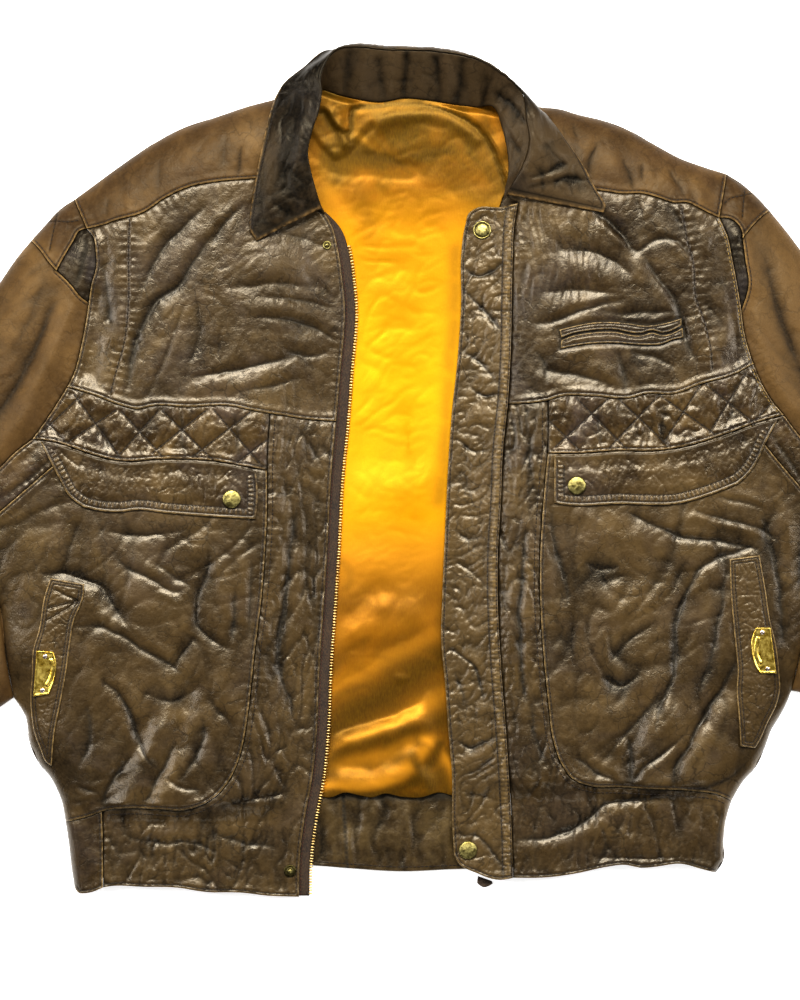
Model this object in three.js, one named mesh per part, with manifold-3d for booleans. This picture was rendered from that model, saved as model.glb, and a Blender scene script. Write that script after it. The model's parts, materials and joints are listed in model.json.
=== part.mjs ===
// A worn leather blouson, open at the front, laid flat on its back.
// Millimetres, +Z up, collar towards +Y. "u" are pattern units: x to the right, y down.
import * as THREE from 'three';
import { mergeVertices } from 'three/addons/utils/BufferGeometryUtils.js';
import Module from 'manifold-3d';

const wasm = await Module();
wasm.setup();

// ---------------------------------------------------------------- driving dimensions (mm)
const S = 0.82;            // one pattern unit
const SHIFT_X = 1.45, SHIFT_Y = -24.33; // puts the middle of the laid-out garment on the origin
const WALL = 1.5;          // leather with its backing
const SEAM = 0.2;          // every piece stops this short of a seam, so two are 0.4 apart
const EDGE_H = 5.0;        // top of the cloth where it rolls over at the sides
const BODY_H = 22;         // how high the body fills
const ROLL = 44;           // how far from the edge the roll reaches
const OPEN_H = 9.5;        // top of the front edges beside the opening
const BAND_H = 12.5;       // top of the waistband
const CELL = 30;           // grid of the faceted cloth
const OVER = 0.5;          // gap between a piece and what lies on it
const CUFF_W = 112, CUFF_H = 15, CUFF_L = 57, CUFF_WALL = 2.0;
const SNAP_D = 15.2, STUD_D = 10.5, RIVET_D = 4.2;

// ---------------------------------------------------------------- pattern lines, in u
const shoulderL = [[318,86],[300,89],[277,98],[250,105],[217,116],[179,129],[158,140],[133,156],[112,171],[89,188],[74,199]];
const shoulderR = [[497,98],[520,100],[538,106],[558,108],[579,114],[604,120],[630,130],[655,144],[681,158],[706,167],[727,173.5]];
const sleeveOutL = [[30.7,240],[16.6,257],[0,281],[-60,365],[-130,470],[-200,580],[-260,680],[-300,745]];
const sleeveOutR = [[770,210],[788,232],[800,248],[860,330],[930,435],[1000,545],[1060,650],[1098,715]];
const patchOutL = [[74,199],[57,211],[46,223],[30.7,240]];
const patchOutR = [[727,173.5],[747,187],[757,196],[770,210]];
const sleeveLowL = [[-190,838],[-130,795],[-60,745],[0,707],[13,698]];
const sleeveLowR = [[985,810],[930,770],[860,725],[800,692.5],[792,691]];
const sideUpL = [[13,698],[6,657],[0,607],[-15,570],[-26,534]];      // body beside the sleeve
const sideUpR = [[792,691],[800,656],[815,590],[827,519]];
const sideTopL = [[-26,534],[-38,498]];
const sideTopR = [[827,519],[838,480]];
const sideLowL = [[13,698],[25,717],[29,743],[38,763],[51,779],[61,801],[65,822]];
const sideLowR = [[792,691],[786,706],[780,717],[772,730],[765,749],[755,769],[744,781],[732,801]];
const bandEndL = [[65,822],[68,842],[71,868],[74,888]];
const bandEndR = [[732,801],[726,822],[724,842],[724,860],[716,873]];
const armL1 = [[74,199],[80,213],[87,229]], armR1 = [[727,173.5],[723,196],[719,218]];
const armL2 = [[87,229],[94,238],[96,250],[96.6,267],[92,284],[89,303]];
const armL3 = [[89,303],[81.6,346],[74,374],[67.6,387]];
const armL4 = [[67.6,387],[50,415],[33,439]];
const armL5 = [[33,439],[15,453],[0,468],[-22,484],[-38,498]];
const armR2 = [[719,218],[726.5,235],[732,260],[737,286],[741,310]];
const armR3 = [[741,310],[744,333],[753,364]];
const armR4 = [[753,364],[767,394],[783,415]];
const armR5 = [[783,415],[800,437],[820,460],[838,480]];
const neckL1 = [[318,86],[309,100],[303,118],[299,138],[300,158],[304,175]];
const neckL2 = [[304,175],[313,194],[322,209]];
const neckR1 = [[497,98],[503,120],[508,140],[512,160],[511,180]];
const neckR2 = [[511,180],[507,196],[518,203]];
const yokeL = [[304,175],[275,177],[254,179],[217,182],[189,187.5],[166,198],[143,213],[115,221],[104,225],[87,229]];
const yokeR = [[511,180],[540,186],[570,188],[601,191],[622,194],[642,194],[658,198],[673,203],[688,203],[698,208],[710,214],[719,218]];
const chestL1 = [[67.6,387],[97,396],[120,405],[138,409],[153,406],[189,407],[230,406],[255,411],[270,413.5]];
const chestL2 = [[270,413.5],[281,415],[306,419],[336,421]];
const chestR1 = [[508,404],[530,403],[548,400.5]];
const chestR2 = [[548,400.5],[558,397],[591,396],[630,398],[645,394],[673,394],[701,384],[732,375],[753,364]];
const bandBotL1 = [[33,439],[56,442],[75,448]];
const bandBotL2 = [[75,448],[102,457],[125,461],[158,459],[189,459],[217,461],[245,466],[267,470]];
const bandBotR1 = [[547.5,453],[579,453],[617,450.5],[655,450.5],[681,447],[719,436],[750,424.5]];
const bandBotR2 = [[750,424.5],[767,419],[783,415]];
const gussetL = [[75,448],[51,468],[0,512],[-26,534]];
const gussetR = [[750,424.5],[768,449],[800,487],[827,519]];
const stripL1 = [[270,413.5],[268,443],[267,470]];
const stripL2 = [[267,470],[267,517],[265,555],[261.5,600],[259,620],[255,651],[251,689],[246,728],[240,756],[230,779],[217,795],[201,805],[184,810],[158,809],[128,808],[107,810],[102,811.5]];
const stripL3 = [[102,811.5],[87,817],[65,822]];
const stripR1 = [[548,400.5],[548,430],[547.5,453]];
const stripR2 = [[547.5,453],[543,504],[540,555],[540,600],[543,651],[548,702],[553,740],[561,763],[573,779],[591,786],[617,787],[655,789],[693,791],[719,795],[732,801]];
const frontL1 = [[322,209],[332,226],[338.5,252],[342.5,281],[344.5,300],[340,376],[336,421]];
const frontL2 = [[336,421],[331,479],[327,555],[324,600],[319,676],[317,728],[312,779],[305,817],[300,855],[299,897]];
const ridge1 = [[518,203],[514,230],[513,255],[512,300],[511,351],[508,404]];
const ridge2 = [[508,404],[503,453],[501,504],[498,555],[498,600],[502,676],[506,728],[510,791],[512,830],[513,878]];
const placketTop = [[466,222],[468,214],[476,208],[502,207],[518,203]];
const placketL = [[466,222],[464,230],[461,255],[461,300],[457,364],[452,410],[448,466],[445,530],[442,600],[441,638],[445,684],[448,728],[452,779],[452,817],[454,855]];
const placketBot = [[454,855],[459,864],[476,873],[499,880],[513,878]];
const hemL = [[103,887.5],[115,886],[143,887],[179,888],[204,892],[242,893],[268,896],[299,897]];
const hemSideL = [[74,888],[79,893],[88,893],[103,887.5]];
const hemR = [[513,878],[553,877],[579,873],[607,867],[624,865],[642,868],[655,867],[681,864],[701,869],[716,873]];
const bandSeamL = [[102,811.5],[103,850],[103,887.5]];
const zipL = [[323,214],[339,232],[346,255],[349.5,281],[351.5,300],[347,376],[343,428],[338,479],[334,555],[331,600],[326,676],[324,728],[319,779],[312,817],[307,855],[306,896]];
const backNeck = [[318,86],[338,92],[366,99],[382,100],[405,96],[428,98],[453,102],[484,106],[497,98]];

const rev = (l) => l.slice().reverse();
// joins pattern lines end to end into one closed outline
const outline = (...lines) => {
  const out = [];
  for (const l of lines) for (const p of l) {
    const q = out[out.length - 1];
    if (!q || Math.hypot(q[0] - p[0], q[1] - p[1]) > 0.05) out.push(p);
  }
  const a = out[0], b = out[out.length - 1];
  if (Math.hypot(a[0] - b[0], a[1] - b[1]) < 0.05) out.pop();
  return out;
};
const mm = (l) => l.map(([u, v]) => [(u - 400) * S, (500 - v) * S]);
const area = (p) => p.reduce((s, a, i) => { const b = p[(i + 1) % p.length]; return s + a[0] * b[1] - b[0] * a[1]; }, 0) / 2;
// moves a closed outline inwards by d
const inset = (poly, d) => {
  const p = area(poly) < 0 ? poly.slice().reverse() : poly, n = p.length, out = [];
  for (let i = 0; i < n; i++) {
    const a = p[(i + n - 1) % n], b = p[i], c = p[(i + 1) % n];
    const u = [b[0] - a[0], b[1] - a[1]], v = [c[0] - b[0], c[1] - b[1]];
    const lu = Math.hypot(...u), lv = Math.hypot(...v);
    const n1 = [-u[1] / lu, u[0] / lu], n2 = [-v[1] / lv, v[0] / lv];
    let m = [n1[0] + n2[0], n1[1] + n2[1]]; const lm = Math.hypot(...m) || 1; m = [m[0] / lm, m[1] / lm];
    const k = Math.min(3, 1 / Math.max(0.2, m[0] * n1[0] + m[1] * n1[1]));
    out.push([b[0] + m[0] * d * k, b[1] + m[1] * d * k]);
  }
  return out;
};

// ---------------------------------------------------------------- height of the laid cloth
const toLine = (x, y, l) => {
  let best = 1e9;
  for (let i = 0; i + 1 < l.length; i++) {
    const [ax, ay] = l[i], [bx, by] = l[i + 1], dx = bx - ax, dy = by - ay;
    if (dx * dx + dy * dy < 1e-6) continue;
    const t = Math.max(0, Math.min(1, ((x - ax) * dx + (y - ay) * dy) / (dx * dx + dy * dy)));
    best = Math.min(best, Math.hypot(x - ax - t * dx, y - ay - t * dy));
  }
  return best;
};
const rolledL = [mm([...shoulderL, ...patchOutL, ...sleeveOutL]), mm([...sleeveLowL, ...sideLowL, ...bandEndL])];
const rolledR = [mm([...shoulderR, ...patchOutR, ...sleeveOutR]), mm([...sleeveLowR, ...sideLowR, ...bandEndR])];
const rolled = [...rolledL, ...rolledR];
// inside these edges, and past the open hem, cuffs and neck
const insideEdges = mm(outline([[318,-300],[497,-300]], shoulderR, patchOutR, sleeveOutR, [[1291,945],[1178,1040]], sleeveLowR, sideLowR, bandEndR, [[716,1300],[74,1300]], rev(bandEndL), rev(sideLowL), rev(sleeveLowL), [[-384,1067],[-494,974]], rev(sleeveOutL), rev(patchOutL), rev(shoulderL)));
const inside = (x, y, p) => {
  let c = false;
  for (let i = 0, j = p.length - 1; i < p.length; j = i++) if ((p[i][1] > y) !== (p[j][1] > y) && x < (p[j][0] - p[i][0]) * (y - p[i][1]) / (p[j][1] - p[i][1]) + p[i][0]) c = !c;
  return c;
};
const besideSleeve = [mm([...sideUpL, ...sideTopL]), mm([...sideUpR, ...sideTopR])];
const openings = [mm([...frontL1, ...frontL2]), mm(placketL)];
const armholes = [mm([...armL1, ...armL2, ...armL3, ...armL4, ...armL5]), mm([...armR1, ...armR2, ...armR3, ...armR4, ...armR5])];
const waist = [mm([...stripL2.slice(9), ...stripL3]), mm(stripR2.slice(7))];
// the largest folds: pattern line, height (a trough is negative) and half width in mm
const folds = [
  [[[106,809],[113,779],[131,759],[150,720]], -3.0, 9], [[[145,805],[163,768],[176,740],[190,690]], -3.4, 9], [[[124,806],[140,770],[160,730]], 2.4, 10],
  [[[628,785],[629,738],[640,700]], -3.2, 9], [[[673,786],[672,771],[688,740],[724,689]], -3.4, 10], [[[650,786],[652,750],[668,715]], 2.4, 11],
  [[[94,300],[100,330],[92,372]], -2.5, 10], [[[748,300],[742,335],[735,360]], -2.0, 10],
  [[[90,246],[76,300],[51,356],[25,417],[0,453]], 3.0, 9], [[[735,236],[748,290],[760,350],[790,410]], 3.0, 9],
  [[[-20,330],[-60,430],[-120,530]], -3.0, 14], [[[-70,520],[-130,610],[-190,700]], -3.5, 14], [[[-20,560],[-80,640],[-150,760]], 2.5, 14],
  [[[820,300],[870,400],[930,500]], -3.0, 14], [[[880,500],[940,590],[1000,690]], -3.5, 14], [[[830,560],[890,640],[960,740]], 2.5, 14],
].map(([l, a, w]) => [mm(l), a, w]);
const round = (t) => (t >= 1 ? 1 : Math.sqrt(1 - (1 - t) * (1 - t)));
const ease = (t) => { const k = Math.max(0, Math.min(1, t)); return k * k * (3 - 2 * k); };
const near = (x, y, ls) => Math.min(...ls.map((l) => toLine(x, y, l)));
function H(x, y) {
  let h = BODY_H;
  for (const [l, a, w] of folds) { const d = toLine(x, y, l) / w; if (d < 3) h += a * Math.exp(-d * d); }
  h -= 2.5 * Math.exp(-((near(x, y, armholes) / 12) ** 2));
  // beyond the edge the surface goes on down, so that it crosses the edge at EDGE_H
  const d = near(x, y, rolled) / ROLL, over = inside(x, y, insideEdges) ? 1 : -0.45;
  h = EDGE_H + (h - EDGE_H) * over * round(d);
  h = EDGE_H + (h - EDGE_H) * (0.3 + 0.7 * round(near(x, y, besideSleeve) / 34));
  // the waistband lies flatter
  const vy = 500 - y / S, below = x < 0 ? 812 : 791;
  h = Math.min(h, h + (Math.min(h, BAND_H) - h) * ease((vy - below + 12) / 24));
  const o = near(x, y, openings);
  h = Math.min(h, OPEN_H + (h - OPEN_H) * ease(o / 80));
  return h;
}

// ---------------------------------------------------------------- making closed solids
const clean = (g) => {
  g = g.clone(); g.deleteAttribute('normal'); g.deleteAttribute('uv'); g = mergeVertices(g, 1e-4); return g;
};
const solid = (g) => {
  const c = clean(g);
  return new wasm.Manifold(new wasm.Mesh({ numProp: 3, vertProperties: new Float32Array(c.attributes.position.array), triVerts: new Uint32Array(c.index.array) }));
};
const geometry = (m) => {
  const mesh = m.getMesh(), g = new THREE.BufferGeometry();
  const p = new Float32Array(mesh.numVert * 3);
  for (let i = 0; i < mesh.numVert; i++) for (let k = 0; k < 3; k++) p[3 * i + k] = mesh.vertProperties[mesh.numProp * i + k];
  g.setAttribute('position', new THREE.BufferAttribute(p, 3));
  g.setIndex(new THREE.BufferAttribute(new Uint32Array(mesh.triVerts), 1));
  return g;
};
const prism = (poly, z0, z1) => {
  const s = new THREE.Shape(poly.map(([x, y]) => new THREE.Vector2(x, y)));
  return new THREE.ExtrudeGeometry(s, { depth: z1 - z0, bevelEnabled: false }).translate(0, 0, z0);
};
// a wall that follows top(x, y), cut to an outline, on one grid shared by all the pieces
function wall(poly, top, thick, cell = CELL) {
  const xs = poly.map((p) => p[0]), ys = poly.map((p) => p[1]);
  const i0 = Math.floor(Math.min(...xs) / cell - 0.01), i1 = Math.ceil(Math.max(...xs) / cell + 0.01);
  const j0 = Math.floor(Math.min(...ys) / cell - 0.01), j1 = Math.ceil(Math.max(...ys) / cell + 0.01);
  const nx = i1 - i0 + 1, ny = j1 - j0 + 1, pos = [], idx = [];
  for (const low of [0, thick]) for (let j = 0; j < ny; j++) for (let i = 0; i < nx; i++) {
    const x = (i0 + i) * cell, y = (j0 + j) * cell; pos.push(x, y, top(x, y) - low);
  }
  const T = (i, j) => j * nx + i, B = (i, j) => nx * ny + j * nx + i;
  const quad = (a, b, c, d) => idx.push(a, b, c, a, c, d);
  for (let j = 0; j + 1 < ny; j++) for (let i = 0; i + 1 < nx; i++) {
    quad(T(i, j), T(i + 1, j), T(i + 1, j + 1), T(i, j + 1));
    idx.push(B(i, j), B(i + 1, j + 1), B(i + 1, j), B(i, j), B(i, j + 1), B(i + 1, j + 1));
  }
  for (let i = 0; i + 1 < nx; i++) { quad(B(i, 0), B(i + 1, 0), T(i + 1, 0), T(i, 0)); quad(B(i + 1, ny - 1), B(i, ny - 1), T(i, ny - 1), T(i + 1, ny - 1)); }
  for (let j = 0; j + 1 < ny; j++) { quad(B(nx - 1, j), B(nx - 1, j + 1), T(nx - 1, j + 1), T(nx - 1, j)); quad(B(0, j + 1), B(0, j), T(0, j), T(0, j + 1)); }
  const g = new THREE.BufferGeometry();
  g.setAttribute('position', new THREE.BufferAttribute(new Float32Array(pos), 3)); g.setIndex(idx);
  return geometry(solid(g).intersect(solid(prism(poly, -5, 80))));
}
const panel = (poly, over = 0, thick = WALL) => wall(inset(mm(poly), SEAM), (x, y) => H(x, y) + over, thick);
// what lies on a panel: its outline, the gap above the panel, its thickness
const overlay = (poly, gap, thick) => wall(inset(mm(poly), 0.05), (x, y) => H(x, y) + gap + thick, thick);
// a strip either side of a line
const strip = (line, left, right) => {
  const p = mm(line), a = [], b = [];
  for (let i = 0; i < p.length; i++) {
    const q = p[Math.max(0, i - 1)], r = p[Math.min(p.length - 1, i + 1)], l = Math.hypot(r[0] - q[0], r[1] - q[1]);
    const n = [-(r[1] - q[1]) / l, (r[0] - q[0]) / l];
    a.push([p[i][0] + n[0] * left, p[i][1] + n[1] * left]); b.push([p[i][0] - n[0] * right, p[i][1] - n[1] * right]);
  }
  return [...a, ...b.reverse()];
};
// a closed patch lofted through rows of points, with a thickness
function loft(rows, thick) {
  const n = rows.length, m = rows[0].length, pos = [], idx = [], P = rows.map((r) => r.map((p) => new THREE.Vector3(...p)));
  const N = P.map((r, i) => r.map((p, j) => {
    const a = P[Math.min(n - 1, i + 1)][j].clone().sub(P[Math.max(0, i - 1)][j]);
    const b = r[Math.min(m - 1, j + 1)].clone().sub(r[Math.max(0, j - 1)]);
    return a.cross(b).normalize();
  }));
  for (const k of [0.5, -0.5]) P.forEach((r, i) => r.forEach((p, j) => { const q = p.clone().addScaledVector(N[i][j], k * thick); pos.push(q.x, q.y, q.z); }));
  const T = (i, j) => i * m + j, B = (i, j) => n * m + i * m + j, quad = (a, b, c, d) => idx.push(a, b, c, a, c, d);
  for (let i = 0; i + 1 < n; i++) for (let j = 0; j + 1 < m; j++) {
    quad(T(i, j), T(i + 1, j), T(i + 1, j + 1), T(i, j + 1));
    idx.push(B(i, j), B(i + 1, j + 1), B(i + 1, j), B(i, j), B(i, j + 1), B(i + 1, j + 1));
  }
  for (let i = 0; i + 1 < n; i++) { quad(T(i, 0), B(i, 0), B(i + 1, 0), T(i + 1, 0)); quad(T(i + 1, m - 1), B(i + 1, m - 1), B(i, m - 1), T(i, m - 1)); }
  for (let j = 0; j + 1 < m; j++) { quad(T(0, j + 1), B(0, j + 1), B(0, j), T(0, j)); quad(T(n - 1, j), B(n - 1, j), B(n - 1, j + 1), T(n - 1, j + 1)); }
  const g = new THREE.BufferGeometry();
  g.setAttribute('position', new THREE.BufferAttribute(new Float32Array(pos), 3)); g.setIndex(idx);
  return g;
}
// the highest the cloth reaches inside a circle
const highest = (x, y, r) => {
  let h = H(x, y); const f = (X, Y) => faceted(X, Y);
  h = f(x, y);
  for (let k = 0; k < 24; k++) for (const q of [0.4, 0.8, 1.05]) h = Math.max(h, f(x + q * r * Math.cos(k * Math.PI / 12), y + q * r * Math.sin(k * Math.PI / 12)));
  return h;
};
// height of the faceted cloth itself
function faceted(x, y) {
  const i = Math.floor(x / CELL), j = Math.floor(y / CELL), s = x / CELL - i, t = y / CELL - j;
  const h = (a, b) => H((i + a) * CELL, (j + b) * CELL);
  return s > t ? h(0, 0) * (1 - s) + h(1, 0) * (s - t) + h(1, 1) * t : h(0, 0) * (1 - t) + h(0, 1) * (t - s) + h(1, 1) * s;
}
const disc = (u, v, d, tall, gap, seg = 16) => {
  const [[x, y]] = mm([[u, v]]), r = d / 2, z = highest(x, y, r) + gap;
  const pts = [[0, 0], [r, 0], [r, tall * 0.45], [r * 0.86, tall * 0.78], [r * 0.72, tall * 0.7], [r * 0.5, tall * 0.92], [0, tall]];
  return new THREE.LatheGeometry(pts.map((p) => new THREE.Vector2(...p)), seg).rotateX(Math.PI / 2).translate(x, y, z);
};

// ---------------------------------------------------------------- the garment
const jacket = new THREE.Group();
const mats = {
  leather: new THREE.MeshStandardMaterial({ color: 0x5f4b32, roughness: 0.42, metalness: 0 }),
  matte: new THREE.MeshStandardMaterial({ color: 0x6e5537, roughness: 0.55, metalness: 0 }),
  collar: new THREE.MeshStandardMaterial({ color: 0x2c211c, roughness: 0.4, metalness: 0 }),
  satin: new THREE.MeshStandardMaterial({ color: 0xd9a010, roughness: 0.35, metalness: 0 }),
  brass: new THREE.MeshStandardMaterial({ color: 0xc8aa3c, roughness: 0.3, metalness: 1 }),
  old: new THREE.MeshStandardMaterial({ color: 0x969050, roughness: 0.4, metalness: 1 }),
  tape: new THREE.MeshStandardMaterial({ color: 0x4a3a26, roughness: 0.8, metalness: 0 }),
};
const add = (name, g, mat) => { const m = new THREE.Mesh(g.translate(SHIFT_X, SHIFT_Y, 0), mats[mat]); m.name = name; jacket.add(m); };

// silhouette of the whole, and the flat layers that lie on the surface
const whole = outline(backNeck, shoulderR, patchOutR, sleeveOutR, sleeveLowR, sideLowR.slice(0, 7), [[736,800],[60,800]], rev(sideLowL).slice(2), rev(sleeveLowL), rev(sleeveOutL), rev(patchOutL), rev(shoulderL));
const under = (poly, z0, z1) => geometry(solid(prism(inset(mm(poly), SEAM), z0, z1)).intersect(solid(prism(inset(mm(whole), 4), z0 - 1, z1 + 1))));
const backPoly = outline(backNeck, shoulderR, armR1, armR2, armR3, armR4, armR5, rev(sideTopR), rev(sideUpR), sideLowR.slice(0, 7), [[735,794],[62,794]], rev(sideLowL.slice(0, 5)), sideUpL, sideTopL, rev(armL5), rev(armL4), rev(armL3), rev(armL2), rev(armL1), rev(shoulderL));
add('back_panel', under(backPoly, 0, WALL), 'leather');
const underL = outline(patchOutL, sleeveOutL, sleeveLowL, sideUpL, sideTopL, rev(armL5), rev(armL4), rev(armL3), rev(armL2), rev(armL1));
const underR = outline(patchOutR, sleeveOutR, sleeveLowR, sideUpR, sideTopR, rev(armR5), rev(armR4), rev(armR3), rev(armR2), rev(armR1));
add('sleeve_under_l', under(underL, 0, WALL), 'matte');
add('sleeve_under_r', under(underR, 0, WALL), 'matte');
const backBand = [[70,796],[726,796],[722,822],[720,850],[712,862],[600,866],[520,868],[452,870],[400,872],[350,869],[309,866],[200,874],[110,878],[82,880],[76,862],[72,830]];
add('back_waistband', geometry(solid(prism(inset(mm(backBand), SEAM), 0, 2.6))), 'leather');
// the lining, from the neck to the waistband, and a little way under each front
const ripples = (x, y) => 3.3 + 0.7 * ease((-y - 110) / 90) * (1 + Math.sin(x / 9 + y / 23));
const liningPoly = outline([[324,88],[338,95],[366,102],[382,103],[405,99],[428,101],[453,105],[484,109],[495,112]], [[500,146],[500,185],[497,215],[480,255],[474,364],[465,466],[459,600],[462,690],[468,790]], [[440,795],[400,797],[360,794],[330,796],[300,793]], [[306,728],[312,640],[318,520],[326,400],[330,300],[318,250],[300,205],[306,150],[310,115]]);
add('back_lining', wall(inset(mm(liningPoly), SEAM), ripples, 1.2), 'satin');

// fronts
add('yoke_l', panel(outline(neckL1, yokeL, rev(armL1), rev(shoulderL))), 'matte');
add('yoke_r', panel(outline(neckR1, yokeR, rev(armR1), rev(shoulderR))), 'matte');
add('front_upper_l', panel(outline(neckL2, frontL1, rev(chestL2), rev(chestL1), rev(armL3), rev(armL2), rev(yokeL))), 'leather');
add('front_upper_r', panel(outline(neckR2, ridge1, chestR1, chestR2, rev(armR3), rev(armR2), rev(yokeR))), 'leather');
add('quilt_band_l', panel(outline(chestL1, stripL1, rev(bandBotL2), rev(bandBotL1), rev(armL4))), 'leather');
add('quilt_band_r', panel(outline(chestR2, armR4, rev(bandBotR2), rev(bandBotR1), rev(stripR1))), 'leather');
add('side_gusset_l', panel(outline(bandBotL1, gussetL, sideTopL, rev(armL5))), 'leather');
add('side_gusset_r', panel(outline(bandBotR2, armR5, rev(sideTopR), rev(gussetR))), 'leather');
add('pocket_panel_l', panel(outline(bandBotL2, stripL2, stripL3, rev(sideLowL), sideUpL, rev(gussetL))), 'leather');
add('pocket_panel_r', panel(outline(bandBotR1, gussetR, rev(sideUpR), sideLowR, rev(stripR2))), 'leather');
add('front_band_l', panel(outline(chestL2, frontL2, rev(hemL), rev(bandSeamL), rev(stripL2), rev(stripL1))), 'leather');
add('waistband_side_l', panel(outline(rev(stripL3), bandSeamL, rev(hemSideL), rev(bandEndL))), 'leather');
add('front_band_r', panel(outline(chestR1, stripR1, stripR2, bandEndR, rev(hemR), rev(ridge2))), 'leather');
add('placket_r', panel(outline(placketTop, ridge1, ridge2, rev(placketBot), rev(placketL)), 0.6, 2.0), 'leather');

// sleeves
add('sleeve_patch_l', panel(outline(armL1, [[87,229],[80,231],[74,241],[64,258],[57,271]], [[57,271],[48,261],[40,250],[30.7,240]], rev(patchOutL))), 'matte');
add('sleeve_patch_r', panel(outline(patchOutR, [[770,210],[758,220],[742,239]], [[742,235],[738,225],[730,219],[719,218]], rev(armR1))), 'matte');
add('sleeve_insert_l', panel(outline(armL2, [[80,296],[73,287],[57,271]], [[64,258],[74,241],[80,231]])), 'leather');
add('sleeve_insert_r', panel(outline(rev(armR2), [[719,218],[730,219],[738,225],[742,235],[742,239]], [[745,262],[748,284],[741,310]])), 'leather');
add('sleeve_upper_l', panel(outline(sleeveOutL, sleeveLowL, sideUpL, sideTopL, rev(armL5), rev(armL4), rev(armL3), [[80,296],[73,287],[57,271]], [[48,261],[40,250]])), 'matte');
add('sleeve_upper_r', panel(outline(sleeveOutR, sleeveLowR, sideUpR, sideTopR, rev(armR5), rev(armR4), rev(armR3), [[748,284],[745,262],[742,239]], [[758,220]])), 'matte');
// cuffs: flattened tubes, open at both ends
function cuff(a, b) {
  const [p, q] = mm([a, b]), c = [(p[0] + q[0]) / 2, (p[1] + q[1]) / 2], along = Math.atan2(q[1] - p[1], q[0] - p[0]);
  const ring = (w, h, r) => {
    const s = new THREE.Shape(), x = w / 2 - r, y = h / 2 - r;
    for (const [cx, cy, a0] of [[x, y, 0], [-x, y, 1], [-x, -y, 2], [x, -y, 3]]) for (let k = 0; k <= 4; k++) {
      const t = (a0 + k / 4) * Math.PI / 2, P = [cx + r * Math.cos(t), cy + r * Math.sin(t)];
      if (a0 === 0 && k === 0) s.moveTo(...P); else s.lineTo(...P);
    }
    return s;
  };
  const s = ring(CUFF_W, CUFF_H, 6.5), hole = ring(CUFF_W - 2 * CUFF_WALL, CUFF_H - 2 * CUFF_WALL, 5); s.holes.push(hole);
  return new THREE.ExtrudeGeometry(s, { depth: CUFF_L, bevelEnabled: false }).rotateX(Math.PI / 2).translate(0, -0.4, CUFF_H / 2).rotateZ(along).translate(c[0], c[1], 0);
}
add('cuff_l', cuff([-300,745], [-190,838]), 'matte');
add('cuff_r', cuff([985,810], [1098,715]), 'matte');

// flaps, welts, plates
const flapL = [[41,441.5],[56,444.5],[75,450.5],[102,459.5],[125,463.5],[158,461.5],[189,461.5],[217,463.5],[245,468.5],[256,471],[258,494],[256,519],[204,516],[166,513],[138,510],[120,512],[102,511],[84,507],[69,495],[60,479],[48,456]];
const flapR = [[554,455.5],[579,455.5],[617,453],[655,453],[681,449.5],[719,438.5],[750,427],[767,421.5],[778,419],[765,443],[759,457],[749,473],[737,484],[706,496],[681,503],[617,504],[566,505],[554,503]];
const FLAP = 2.0, FLAP_GAP = 0.6;
add('flap_l', overlay(flapL, FLAP_GAP, FLAP), 'leather');
add('flap_r', overlay(flapR, FLAP_GAP, FLAP), 'leather');
const weltL = [[51,578],[85,584],[84,596],[74,623],[71,642],[66,677],[61,703],[55,733],[52,766],[47,763],[40,748],[34,732],[31,712],[30.5,695],[32,677],[34,647],[39,631],[45,596]];
const weltR = [[729,559],[759,555],[765,589],[770,622],[775,642],[779,672],[780,690],[776,706],[768,722],[760,740],[755,748],[740,746],[738,714],[736,691],[737,668],[736,657],[733,627],[730,591]];
add('hand_welt_l', overlay(weltL, 0.5, 1.6), 'leather');
add('hand_welt_r', overlay(weltR, 0.5, 1.6), 'leather');
const plateL = [[37,650],[54,651],[57,662],[56,677],[50,694],[33.5,696]];
const plateR = [[755,627],[770,627],[776,673],[759,673],[753.5,664],[751,655],[750,644],[751.5,636]];
add('plate_l', overlay(plateL, 2.6, 1.2), 'brass');
add('plate_r', overlay(plateR, 2.6, 1.2), 'brass');
for (const [name, u, v] of [['rivet_l_top', 46, 656], ['rivet_l_bottom', 43, 690], ['rivet_r_top', 761.5, 632], ['rivet_r_bottom', 767, 668.5]]) {
  const [[x, y]] = mm([[u, v]]), r = RIVET_D / 2, z = highest(x, y, r) + 2.6 + 1.2 + 0.3;
  add(name, new THREE.LatheGeometry([[0, 0], [r, 0], [0.85 * r, 0.5], [0.45 * r, 0.95], [0, 1.1]].map((p) => new THREE.Vector2(...p)), 12).rotateX(Math.PI / 2).translate(x, y, z), 'brass');
}
add('chest_welt_upper', overlay([[559,330],[597,322.5],[627,323.5],[644,326],[662,324],[681,318.5],[681,325.5],[662,333],[651,330.5],[642,333],[611,329.5],[583,331.5],[573,333.5],[561,338]], 0.4, 1.3), 'leather');
add('chest_welt_lower', overlay([[561,340.5],[573,336],[583,334],[611,332],[642,335.5],[651,333],[662,335.5],[682,328],[683,338],[672,340],[662,344],[642,345],[611,343],[589,344],[560,349]], 0.4, 1.3), 'leather');

// zip: tape beside the left front's edge, its row of teeth, and the right end below the hem
const zTape = 5.9;
add('zip_tape_l', prism(strip(zipL, 2.1, 8.5).reverse(), zTape, zTape + 1.1), 'tape');
const teeth = zipL.map(([u, v]) => [u, v]);
add('zip_teeth_l', prism(strip(teeth, 5.4, -2.5).reverse(), zTape - 0.8, zTape + 2.0), 'brass');
add('zip_end_r', prism(mm([[477,884],[484,888],[493,884],[492,881.5],[478,876.5]]), 2.0, 5.0), 'tape');

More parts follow.
